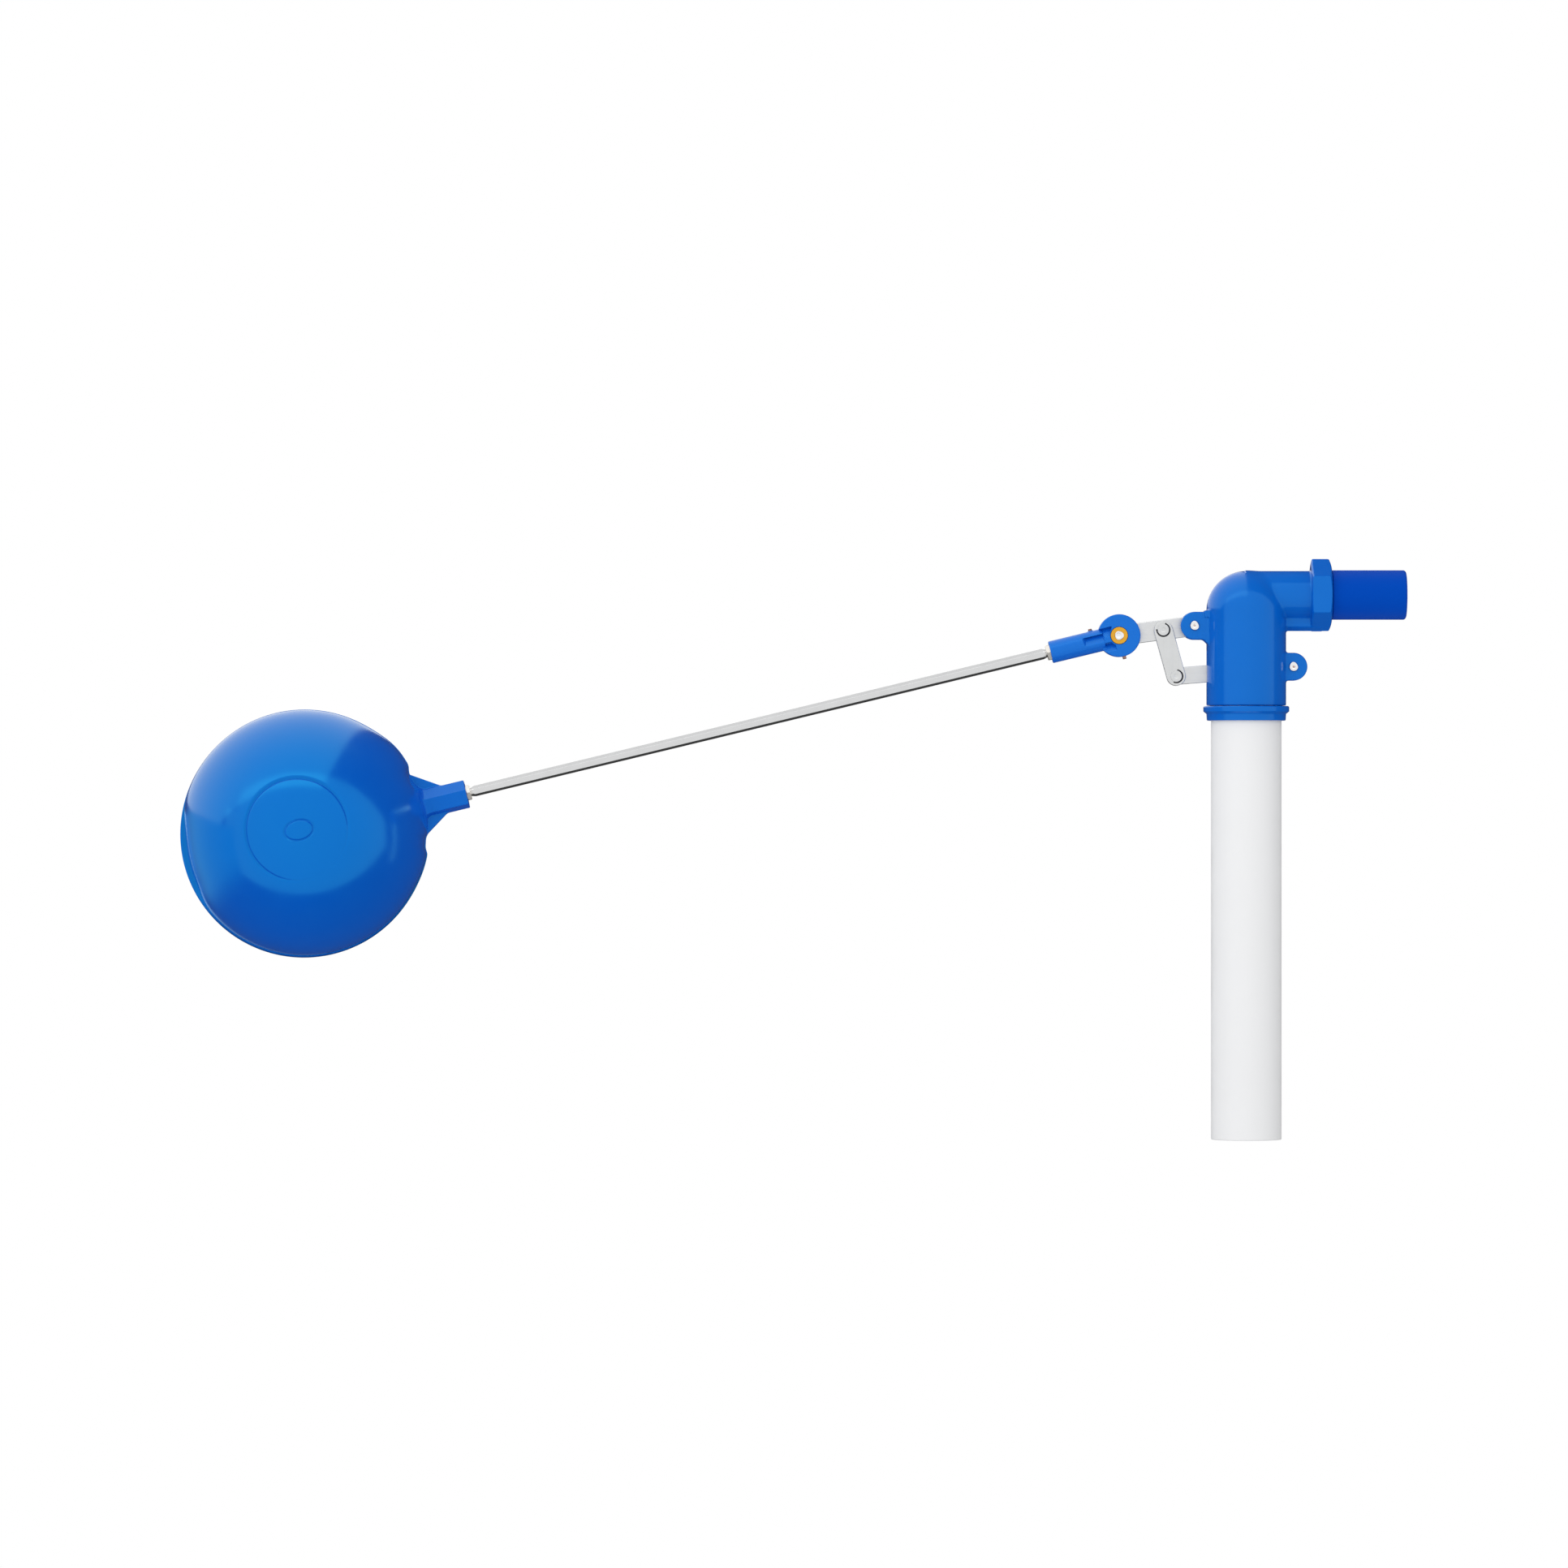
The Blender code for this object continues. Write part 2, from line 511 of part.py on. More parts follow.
def plug_body(frame):
    """Cup for the washer, on a round nose that the rocker lifts, with guide fins at the corners."""
    pocket = WASHER_RADIUS + PRESS_GAP
    rim = WASHER_TOP - CUP_RIM_DEPTH
    crown = NOSE_TIP + NOSE_CROWN
    hole = SCREW_OD / 2 + PIN_PLAY
    hole_end = WASHER_TOP - SCREW_LENGTH - CLEARANCE
    profile = [(0.0, hole_end), (hole, hole_end), (hole, CUP_FLOOR_TOP)]
    profile += [(pocket, CUP_FLOOR_TOP), (pocket, rim)]
    profile += [(CUP_RADIUS, rim), (CUP_RADIUS, CUP_BOTTOM), (NOSE_RADIUS, CUP_BOTTOM), (NOSE_RADIUS, crown)]
    for step in range(1, ARC_STEPS + 1):
        turn = math.pi / 2 * step / ARC_STEPS
        profile.append((NOSE_RADIUS * math.cos(turn), crown - NOSE_CROWN * math.sin(turn)))
    profile[-1] = (0.0, NOSE_TIP)
    plug = turned("plug_body", profile, "Z", LARGE_STEPS)
    fin_end = TUBE_BORE / 2 - SIDE_PLAY
    for count in range(FIN_COUNT):
        fin = block(
            "fin",
            (pocket + CUP_WALL / 2, -FIN_THICKNESS / 2, CUP_BOTTOM - FIN_LENGTH + CUP_FLOOR),
            (fin_end, FIN_THICKNESS / 2, CUP_FLOOR_TOP),
        )
        fin.data.transform(Matrix.Rotation(2 * math.pi * (count + 0.5) / FIN_COUNT, 4, "Z"))
        combine(plug, "UNION", fin)
    finish(plug, CLEAR_WHITE_ACETAL, frame)


def plug_washer(frame):
    """Soft washer that closes on the seat's lip."""
    hole = SCREW_OD / 2 + PIN_PLAY
    profile = [(hole, WASHER_BOTTOM), (hole, WASHER_TOP)]
    profile += [(WASHER_RADIUS, WASHER_TOP), (WASHER_RADIUS, WASHER_BOTTOM)]
    finish(turned("plug_washer", profile, "Z", LARGE_STEPS), RUBBER, frame)


def washer_screw(frame):
    """Pan-head screw that holds the washer in its cup."""
    shank = SCREW_OD / 2
    head = shank + SCREW_HEAD_MARGIN
    under = WASHER_TOP + PRESS_GAP
    top = under + SCREW_HEAD_HEIGHT
    edge = SCREW_HEAD_HEIGHT / 3
    tip = WASHER_TOP - SCREW_LENGTH
    profile = [(0.0, tip), (shank, tip), (shank, under), (head, under)]
    profile += [(head, top - edge), (head - edge, top), (0.0, top)]
    finish(turned("washer_screw", profile, "Z", SMALL_STEPS), STAINLESS, frame)


def headed_pin(name, shank, head, face, height, pivot, look, frame=None):
    """Pin along Y with a domed head outside each face."""
    edge = height / 2
    under = face + PRESS_GAP
    half = [(shank, under), (head, under), (head, under + height - edge), (head - edge, under + height)]
    profile = [(r, y) for r, y in half] + [(0.0, under + height), (0.0, -under - height)]
    profile += [(r, -y) for r, y in reversed(half)]
    pin = turned(name, profile, "Y", SMALL_STEPS, (pivot[0], 0.0, pivot[1]))
    finish(pin, look, frame)


def float_lever(frame):
    """Flat bar from the clamp pivot to the body's ears, pierced for the link."""
    clamp = (-LEVER_LENGTH, 0.0)
    crank = (-LEVER_CRANK, 0.0)
    bar = plate("float_lever", bar_outline(clamp, (0.0, 0.0), LEVER_WIDTH / 2), -LEVER_FACE, LEVER_FACE)
    combine(bar, "DIFFERENCE", pin_hole((0.0, 0.0), PIN_OD / 2 + PIN_PLAY, LEVER_WIDTH))
    combine(bar, "DIFFERENCE", pin_hole(crank, RIVET_OD / 2 + PIN_PLAY, LEVER_WIDTH))
    combine(bar, "DIFFERENCE", pin_hole(clamp, BOLT_OD / 2 + PIN_PLAY, LEVER_WIDTH))
    finish(bar, STAINLESS, frame)


def rocker_lever(frame):
    """Flat bar through the chamber, loose on the link's lower rivet."""
    foot = (-ROCKER_LENGTH, 0.0)
    bar = plate("rocker_lever", bar_outline(foot, (0.0, 0.0), ROCKER_WIDTH / 2), -LEVER_FACE, LEVER_FACE)
    combine(bar, "DIFFERENCE", pin_hole((0.0, 0.0), PIN_OD / 2 + PIN_PLAY, ROCKER_WIDTH))
    combine(bar, "DIFFERENCE", pin_hole(foot, RIVET_OD / 2 + LOOP_PLAY, ROCKER_WIDTH))
    finish(bar, STAINLESS, frame)


def link_plate(name, side, frame):
    """One of the two plates that hang the rocker on the lever."""
    foot = (0.0, -LINK_LENGTH)
    outline = bar_outline(foot, (0.0, 0.0), LINK_WIDTH / 2)
    bar = plate(name, outline, side * LINK_INNER, side * LINK_OUTER)
    for pivot in ((0.0, 0.0), foot):
        combine(bar, "DIFFERENCE", pin_hole(pivot, RIVET_OD / 2 + PIN_PLAY, LINK_WIDTH))
    finish(bar, STAINLESS, frame)


def socket_pocket(side):
    """Cutter for the tapering pocket on one face of the socket, beside the disc."""
    near = -DISC_RADIUS - CLEARANCE
    tip = near - POCKET_LENGTH
    half = POCKET_WIDTH / 2
    surface = SOCKET_END_RADIUS
    floor = surface - POCKET_DEPTH
    bm = bmesh.new()
    tip_vert = bm.verts.new((tip, side * surface, 0.0))
    floor_verts = [bm.verts.new((near, side * floor, z)) for z in (-half, half)]
    top_verts = [bm.verts.new((near, side * (surface + OVERLAP), z)) for z in (half, -half)]
    top_tip = bm.verts.new((tip, side * (surface + OVERLAP), 0.0))
    bm.faces.new(floor_verts + top_verts)
    bm.faces.new((tip_vert, floor_verts[0], floor_verts[1]))
    bm.faces.new((top_tip, top_verts[0], top_verts[1]))
    bm.faces.new((tip_vert, floor_verts[1], top_verts[0], top_tip))
    bm.faces.new((tip_vert, top_tip, top_verts[1], floor_verts[0]))
    return new_object("pocket", bm)


def arm_head(frame):
    """Slotted clamp disc with a tapered socket for the rod's threaded end."""
    head = rod_shape("arm_head", DISC_RADIUS, -CHEEK_OUTER, CHEEK_OUTER, "Y", steps=LARGE_STEPS)
    neck = SOCKET_END_RADIUS - SOCKET_TAPER
    root = -SLOT_FLOOR - OVERLAP
    profile = [(0.0, -SOCKET_LENGTH), (SOCKET_END_RADIUS, -SOCKET_LENGTH), (neck, root), (0.0, root)]
    combine(head, "UNION", turned("socket", profile, "X", SMALL_STEPS))
    reach = DISC_RADIUS + OVERLAP
    slot = block("slot", (-SLOT_FLOOR, -CHEEK_INNER, -reach), (reach, CHEEK_INNER, reach))
    bore = rod_shape("bore", SOCKET_BORE_RADIUS, -SOCKET_LENGTH - OVERLAP, -SOCKET_FLOOR, "X")
    combine(head, "DIFFERENCE", slot, bore, socket_pocket(-1), socket_pocket(1))
    bolt_hole = rod_shape("hole", BOLT_OD / 2 + PIN_PLAY, 0.0, CHEEK_OUTER + OVERLAP, "Y")
    insert_hole = rod_shape("hole", INSERT_RADIUS + PRESS_GAP, -CHEEK_OUTER - OVERLAP, 0.0, "Y")
    screw_hole = SET_SCREW_OD / 2 + PIN_PLAY
    layer = -(CHEEK_INNER + CHEEK_THICKNESS / 2)
    lower = rod_shape("hole", screw_hole, -reach, -INSERT_RADIUS, "Z", (0.0, layer, 0.0))
    centre = (-ROD_SCREW_OFFSET, 0.0, 0.0)
    upper = rod_shape("hole", screw_hole, 0.0, SOCKET_END_RADIUS + OVERLAP, "Z", centre)
    combine(head, "DIFFERENCE", bolt_hole, insert_hole, lower, upper)
    finish(head, BLUE_PLASTIC, frame)


def head_insert(frame):
    """Threaded bush in the front cheek that takes the clamp bolt."""
    bore = BOLT_OD / 2 + PIN_PLAY
    front = -CHEEK_OUTER - INSERT_PROUD
    back = -CHEEK_INNER
    profile = [(bore, front), (INSERT_RADIUS, front), (INSERT_RADIUS, back), (bore, back)]
    finish(turned("head_insert", profile, "Y", SMALL_STEPS), BRASS, frame)


def clamp_bolt(frame):
    """Hexagon-head bolt from the rear cheek through the lever into the bush."""
    under = CHEEK_OUTER + 2 * PRESS_GAP + BOLT_WASHER_THICKNESS
    corner = BOLT_HEAD_AF / 2 / math.cos(math.pi / 6)
    bolt = rod_shape("clamp_bolt", corner, under, under + BOLT_HEAD_HEIGHT, "Y", steps=6)
    shank = rod_shape("shank", BOLT_OD / 2, BOLT_TIP_INSET - CHEEK_OUTER, under + OVERLAP, "Y")
    finish(combine(bolt, "UNION", shank), STAINLESS, frame)


def clamp_washer(frame):
    """Plain washer under the bolt's head."""
    near = CHEEK_OUTER + PRESS_GAP
    far = near + BOLT_WASHER_THICKNESS
    inner = BOLT_OD / 2 + PIN_PLAY
    outer = inner + BOLT_WASHER_MARGIN
    finish(
        turned("clamp_washer", [(inner, near), (inner, far), (outer, far), (outer, near)], "Y", SMALL_STEPS),
        STAINLESS,
        frame,
    )


def set_screws(frame):
    """Two small screws: one under the disc against the bush, one on the socket against the rod."""
    layer = -(CHEEK_INNER + CHEEK_THICKNESS / 2)
    radius = SET_SCREW_OD / 2
    end = -DISC_RADIUS - SET_SCREW_PROUD
    insert_screw = rod_shape("insert_screw", radius, end, -INSERT_RADIUS - PRESS_GAP, "Z", (0.0, layer, 0.0))
    finish(insert_screw, BRASS, frame)
    top = SOCKET_END_RADIUS - SOCKET_TAPER + SET_SCREW_PROUD
    centre = (-ROD_SCREW_OFFSET, 0.0, 0.0)
    rod_screw = rod_shape("rod_screw", radius, THREAD_RADIUS + PRESS_GAP, top, "Z", centre)
    finish(rod_screw, STAINLESS, frame)


def arm_rod(frame):
    """Hexagonal rod with a flat to the front, turned down to a thread at each end."""
    start = -FLOAT_ROD_END
    end = -HEAD_ROD_START
    rod = rod_shape("arm_rod", ROD_CORNER, start, end, "X", steps=6)
    rise = (ROD_CORNER - ROD_FLAT) / ROD_CHAMFER_LENGTH
    tip = ROD_FLAT - rise * OVERLAP
    wide = ROD_FLAT + 2 * rise * ROD_CHAMFER_LENGTH
    cone = 2 * ROD_CHAMFER_LENGTH
    envelope = [(0.0, start - OVERLAP), (tip, start - OVERLAP), (wide, start + cone)]
    envelope += [(wide, end - cone), (tip, end + OVERLAP), (0.0, end + OVERLAP)]
    combine(rod, "INTERSECT", turned("envelope", envelope, "X", SMALL_STEPS))
    float_thread = -(FLOAT_REACH - BOSS_END + FLOAT_INSERT_LENGTH - CLEARANCE)
    thread = rod_shape("thread", THREAD_RADIUS, float_thread, -SOCKET_FLOOR - CLEARANCE, "X")
    finish(combine(rod, "UNION", thread), STAINLESS, frame)


def lock_nut(name, near, frame):
    """Thin hexagon nut on the rod's thread, a corner to the front."""
    corner = NUT_AF / 2 / math.cos(math.pi / 6)
    nut = rod_shape(name, corner, -near - NUT_THICKNESS, -near, "X", steps=6, phase=math.pi / 6)
    hole = rod_shape("hole", THREAD_RADIUS + PRESS_GAP, -FLOAT_REACH, 0.0, "X")
    finish(combine(nut, "DIFFERENCE", hole), STAINLESS, frame)


def float_half(name, side, frame):
    """Half of the ball, a bowl with a welding flange and a raised disc on its pole."""
    disc_radius = BALL_RADIUS + POLE_DISC_RISE
    edge = math.asin(POLE_DISC_RADIUS / BALL_RADIUS)
    disc_edge = math.asin(POLE_DISC_RADIUS / disc_radius)
    seam = math.acos(SEAM_FACE / BALL_RADIUS)
    inner_radius = BALL_RADIUS - BALL_WALL
    outline = [(0.0, disc_radius)]
    outline += [(r, h) for h, r in arc((0.0, 0.0), disc_radius, 0.0, disc_edge, EDGE_STEPS)[1:]]
    outline += [(r, h) for h, r in arc((0.0, 0.0), BALL_RADIUS, edge, seam)]
    outline += [(SEAM_RADIUS, SEAM_FACE), (SEAM_RADIUS, PRESS_GAP), (inner_radius, PRESS_GAP)]
    inner_seam = math.acos(PRESS_GAP / inner_radius)
    outline += [(r, h) for h, r in arc((0.0, 0.0), inner_radius, inner_seam, 0.0)[1:-1]]
    outline += [(0.0, inner_radius)]
    half = turned(name, [(r, side * h) for r, h in outline], "Y", LARGE_STEPS)
    finish(half, BLUE_PLASTIC, frame)


def float_boss(frame):
    """Hexagonal socket welded on the ball, braced by a rib above and below."""
    corner = BOSS_AF / 2 / math.cos(math.pi / 6)
    root = BALL_RADIUS - BALL_WALL
    boss = rod_shape("float_boss", corner, root, BOSS_END, "X", steps=6, phase=math.pi / 6)
    half = RIB_THICKNESS / 2
    rib_root = (math.sqrt(BALL_RADIUS**2 - (BOSS_AF / 2 + RIB_SPREAD) ** 2), BOSS_AF / 2 + RIB_SPREAD)
    rib_tip = (BALL_RADIUS + RIB_LENGTH, BOSS_AF / 2)
    inside = rib_root[0] - OVERLAP
    for side in (-1, 1):
        outline = [(inside, 0.0), (rib_tip[0], 0.0), rib_tip, rib_root, (inside, rib_root[1])]
        outline = [(x, side * z) for x, z in outline]
        combine(boss, "UNION", plate("rib", outline, -half, half))
    ball = [(r, h) for h, r in arc((0.0, 0.0), BALL_RADIUS + PRESS_GAP, 0.0, math.pi, 2 * LARGE_STEPS)]
    ball[0] = (0.0, BALL_RADIUS + PRESS_GAP)
    ball[-1] = (0.0, -BALL_RADIUS - PRESS_GAP)
    flange_face = SEAM_FACE + PRESS_GAP
    flange = rod_shape("flange", SEAM_RADIUS + PRESS_GAP, -flange_face, flange_face, "Y", steps=LARGE_STEPS)
    combine(boss, "DIFFERENCE", turned("ball", ball, "Y", LARGE_STEPS), flange)
    insert = THREAD_RADIUS + PRESS_GAP + FLOAT_INSERT_WALL + PRESS_GAP
    floor = BOSS_END - FLOAT_INSERT_LENGTH - PRESS_GAP
    combine(boss, "DIFFERENCE", rod_shape("hole", insert, floor, BOSS_END + OVERLAP, "X"))
    finish(boss, BLUE_PLASTIC, frame)


def float_insert(frame):
    """Threaded bush in the boss for the rod."""
    bore = THREAD_RADIUS + PRESS_GAP
    outer = bore + FLOAT_INSERT_WALL
    start = BOSS_END - FLOAT_INSERT_LENGTH
    profile = [(bore, start), (outer, start), (outer, BOSS_END), (bore, BOSS_END)]
    finish(turned("float_insert", profile, "X", SMALL_STEPS), BRASS, frame)


def build_housing():
    """Pieces that stay still."""
    valve_body()
    inlet_spigot()
    seat_ring()
    discharge_tube()
    outlet_collar()
    shank = PIN_OD / 2
    head = shank + PIN_HEAD_MARGIN
    headed_pin("lever_pin", shank, head, EAR_OUTER, PIN_HEAD_HEIGHT, LEVER_PIVOT, STAINLESS)
    headed_pin("rocker_pin", shank, head, ROCKER_EAR_OUTER, PIN_HEAD_HEIGHT, ROCKER_PIVOT, STAINLESS)


def build_linkage():
    """Lever, link, rocker and plug, each on an empty at its joint."""
    lever = frame_at("lever_axis", (LEVER_PIVOT[0], 0.0, LEVER_PIVOT[1]), LEVER_SLOPE)
    link = frame_at("link_axis", (LINK_PIVOT[0], 0.0, LINK_PIVOT[1]), LINK_LEAN)
    rocker = frame_at("rocker_axis", (ROCKER_PIVOT[0], 0.0, ROCKER_PIVOT[1]), ROCKER_SLOPE)
    plug = frame_at("plug_axis", (AXIS_X, 0.0, 0.0), 0.0)
    float_lever(lever)
    link_plate("link_plate_front", -1, link)
    link_plate("link_plate_rear", 1, link)
    shank = RIVET_OD / 2
    head = shank + RIVET_HEAD_MARGIN
    for name, drop in (("link_rivet_upper", 0.0), ("link_rivet_lower", -LINK_LENGTH)):
        headed_pin(name, shank, head, LINK_OUTER, RIVET_HEAD_HEIGHT, (0.0, drop), STAINLESS, link)
    rocker_lever(rocker)
    plug_body(plug)
    plug_washer(plug)
    washer_screw(plug)


def build_arm():
    """Arm head, rod and float, on an empty at the clamp pivot."""
    arm = frame_at("arm_axis", (CLAMP_PIVOT[0], 0.0, CLAMP_PIVOT[1]), ARM_SLOPE)
    arm_head(arm)
    head_insert(arm)
    clamp_bolt(arm)
    clamp_washer(arm)
    set_screws(arm)
    arm_rod(arm)
    lock_nut("lock_nut_head", HEAD_NUT_START, arm)
    lock_nut("lock_nut_float", FLOAT_NUT_END - NUT_THICKNESS, arm)
    ball = frame_at("float_axis", (-FLOAT_REACH, 0.0, 0.0), 0.0, arm, FLOAT_ROLL)
    float_half("float_half_front", -1, ball)
    float_half("float_half_rear", 1, ball)
    float_boss(ball)
    float_insert(ball)


def main():
    for obj in list(bpy.data.objects):
        bpy.data.objects.remove(obj)
    build_housing()
    build_linkage()
    build_arm()


main()
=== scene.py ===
"""Looks of a compound-lever float valve: blue mouldings, white tube, stainless levers and a ball float."""

import json
import math

import bpy
import numpy as np
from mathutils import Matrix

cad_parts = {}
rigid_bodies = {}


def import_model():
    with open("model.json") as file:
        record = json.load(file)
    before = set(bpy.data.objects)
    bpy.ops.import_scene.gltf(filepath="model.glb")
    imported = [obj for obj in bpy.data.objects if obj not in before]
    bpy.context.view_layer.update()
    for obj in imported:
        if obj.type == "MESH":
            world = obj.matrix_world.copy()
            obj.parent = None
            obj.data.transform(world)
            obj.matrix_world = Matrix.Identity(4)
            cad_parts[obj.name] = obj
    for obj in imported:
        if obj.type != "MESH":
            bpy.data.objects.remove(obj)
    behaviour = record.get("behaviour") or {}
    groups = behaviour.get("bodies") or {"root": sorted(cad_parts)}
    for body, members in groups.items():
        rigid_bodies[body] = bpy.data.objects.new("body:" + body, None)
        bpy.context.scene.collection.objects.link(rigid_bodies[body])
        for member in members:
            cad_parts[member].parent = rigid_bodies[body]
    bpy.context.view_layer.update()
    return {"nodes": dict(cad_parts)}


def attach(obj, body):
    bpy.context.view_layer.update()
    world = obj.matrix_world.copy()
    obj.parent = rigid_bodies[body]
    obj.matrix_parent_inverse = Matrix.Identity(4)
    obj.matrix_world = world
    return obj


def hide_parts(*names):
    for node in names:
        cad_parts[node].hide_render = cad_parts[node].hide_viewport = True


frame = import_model()

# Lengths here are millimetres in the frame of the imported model, or in the frame of the arm, lever or link.
# The last number of a smooth join is the size of its fillet or rounded edge.
MM = 0.001
TINY = 1e-9
HEX_SIDE = math.cos(math.pi / 6)

# Body, limb, hexagon and tube
BODY_AXIS = -44.7
BODY_RADIUS = 20.9
BODY_FOOT = -58.1
BODY_CELL = 0.55
LIMB_RADIUS = 12.6
DOME_CENTRE = LIMB_RADIUS - BODY_RADIUS
HEX_HALF = 16.5
HEX_LENGTH = 11.0
HEX_OUTER_LAND, HEX_OUTER_TURN = 15.3, math.radians(20.0)
HEX_INNER_LAND, HEX_INNER_TURN = 16.0, math.radians(12.0)
INLET_BORE = 8.5
SHANK_BORE = 10.6
SHANK_END = -20.3
CHAMBER_RADIUS = 16.5
CHAMBER_TOP = -16.5
SOCKET_RADIUS = 18.8
SOCKET_TOP = -48.1
THROAT_RADIUS = 8.15
WEB_HALF = 4.0
SLOT_HALF = 1.6
LEFT_SLOT = (-46.2, -29.26)
RIGHT_SLOT = (-44.5, -28.9)
RIGHT_SLOT_END = -22.8

# Ears, as radii and as layers along Y on each side of the middle
EAR_RADIUS = 7.3
EAR_BOSS_RADIUS = 5.0
EAR_BOSS_SUNK = 1.0
LEVER_EAR, LEVER_EAR_BOSS = (3.4, 6.9), 1.55
ROCKER_EAR, ROCKER_EAR_BOSS = (1.6, 5.1), 1.6
PIN_HOLE = 2.2
GUSSET_LINE = 91.0
GUSSET_END = -69.5
GUSSET_TOP = -20.0
ROOT_BLOCK_X = (-66.9, -60.0)
ROOT_BLOCK_Y = (3.4, 7.7)
ROOT_BLOCK_Z = (-11.9, -8.2)

# Pivots and slopes of the linkage
LEVER_PIVOT = (-72.16, -16.2)
LEVER_SLOPE = math.radians(7.45)
LEVER_LENGTH = 39.8
LEVER_CRANK = 16.36
ROCKER_PIVOT = (-20.13, -37.7)
ROCKER_SLOPE = math.radians(4.64)
ROCKER_LENGTH = 61.7
LINK_PIVOT = (-88.382, -18.321)
LINK_FOOT = (-81.628, -42.691)
LINK_LENGTH = math.dist(LINK_PIVOT, LINK_FOOT)
LINK_LEAN = math.atan2(LINK_FOOT[0] - LINK_PIVOT[0], LINK_PIVOT[1] - LINK_FOOT[1])
CLAMP_PIVOT = (-111.624, -21.361)
ARM_SLOPE = math.radians(13.56)
FLOAT_REACH = 441.0
FLOAT_ROLL = math.radians(-2.7)

# Flat levers and link plates
LEVER_HALF = 1.25
LINK_FACE = 2.4
LINK_THICKNESS = 0.9
PLATE_CELL = 0.33
ROCKER_SLACK_HOLE = 2.75

# Spring clips round the link's rivets
CLIP_RADIUS = 3.38
CLIP_HALF = 0.27
CLIP_SWELL = 0.14
CLIP_DEPTH = 0.22
CLIP_PROUD = 0.1

# Clamp head, from the clamp's pivot
HEAD_RADIUS = 11.2
HEAD_HALF = 5.2
HEAD_CELL = 0.3
HOLLOW_FLOOR = 2.2
HOLLOW_START = 5.3
UPPER_HOLLOW = (0.3, 5.6)
LOWER_HOLLOW = (-7.2, -2.3)
HEAD_SOCKET_RADIUS = 5.85
HEAD_SOCKET_DROP = 0.1
HEAD_SOCKET = (-37.0, -8.2)
POCKET = (-1.4, 2.8)
POCKET_FACE = 5.65
POCKET_START = -8.3
POCKET_TIP, POCKET_TIP_FACE = -19.4, 5.4
CHEEK_SLOT_HALF = 1.55
CHEEK_SLOT_END = -6.2
ROD_BORE = 2.8
ROD_BORE_START = -12.0
BUSH_SEAT = 4.6
INSERT_SCREW_Y, INSERT_SCREW_HOLE = -3.375, 1.2
ROD_SCREW_X, ROD_SCREW_HOLE = -14.1, 1.05
ROD_SCREW_BOSS, ROD_SCREW_BOSS_Z = 1.35, (2.0, 6.2)

# Clamp bolt and lock nuts
BOLT_HEAD_HALF = 3.5
BOLT_HEAD = (6.5, 9.3)
BOLT_SHANK_RADIUS = 2.0
BOLT_SHANK = (-5.6, 8.0)
BOLT_LIP_RADIUS = 2.35
BOLT_LIP = (-5.75, -5.35)
BOLT_CUP = (-0.3, -7.2, 0.2)
BOLT_CUP_RADIUS = 2.0
NUT_HALF = 4.0
NUT_DEPTH = 1.35
NUT_LAND = 3.75
NUT_BORE = 2.55
SMALL_CELL = 0.24

# Rod
ROD_START, ROD_END = -39.3, -350.1
THREAD_START, THREAD_END = -12.3, -372.8
ROD_ROLL = math.radians(5.0)
ROD_FLAT = 2.5
ROD_CORNER = 2.84
ROD_NECK = 2.35
THREAD_RADIUS = 2.34
THREAD_DEPTH = 0.14
THREAD_PITCH = 0.8
THREAD_ROW = 0.16
THREAD_TIP = 1.8

# Ball float, from its middle
BALL_RADIUS = 62.3
BALL_WALL = 2.0
FLANGE_RADIUS = 65.25
FLANGE_SHIFT = (0.5, -0.7)
FLANGE_JOINT = 0.02
FLANGE_LEAN = 1.5
FLANGE_SIDE = 200.0 - math.degrees(ARM_SLOPE)
POLE_DISC = 26.9
GROOVE_WIDTH = 0.6
GROOVE_SIDE = 111.0
RING_SPAN = 0.03
PIP_SPAN = 0.17
PIP_CENTRE = (1.3, -1.0)
PIP_HALF = (7.2, 4.9)

# Boss on the float
BOSS_ROLL = math.radians(14.0)
BOSS_DROP = 0.5
BOSS_HALF = 6.7
BOSS_ROOT = 50.0
BOSS_END = 88.4
BOSS_CELL = 0.4
RIB_ROOT = (59.7, 18.15)
RIB_TIP = (76.6, 7.15)
RIB_HALF = 1.55
SKIRT_START = 57.5
SKIRT_HALF = (16.0, 22.5)
SKIRT_SUNK = 1.6
BUSH_BORE = 4.3
BUSH_FLOOR = 67.75


def turn_y(angle):
    """Rotation about Y that lifts +Z towards +X."""
    c, s = math.cos(angle), math.sin(angle)
    return np.array([[c, 0, s], [0, 1, 0], [-s, 0, c]])


def turn_x(angle):
    """Rotation about X that lifts +Y towards +Z."""
    c, s = math.cos(angle), math.sin(angle)
    return np.array([[1, 0, 0], [0, c, -s], [0, s, c]])


def place_at(pivot, slope):
    """Frame at a pivot whose -X falls by the slope, as a rotation and an origin."""
    return turn_y(-slope), np.array([pivot[0], 0.0, pivot[1]])


HOUSING = (np.eye(3), np.zeros(3))
LEVER = place_at(LEVER_PIVOT, LEVER_SLOPE)
LINK = place_at(LINK_PIVOT, LINK_LEAN)
ROCKER = place_at(ROCKER_PIVOT, ROCKER_SLOPE)
ARM = place_at(CLAMP_PIVOT, ARM_SLOPE)
FLOAT = (ARM[0] @ turn_x(FLOAT_ROLL), ARM[0] @ np.array([-FLOAT_REACH, 0.0, 0.0]) + ARM[1])


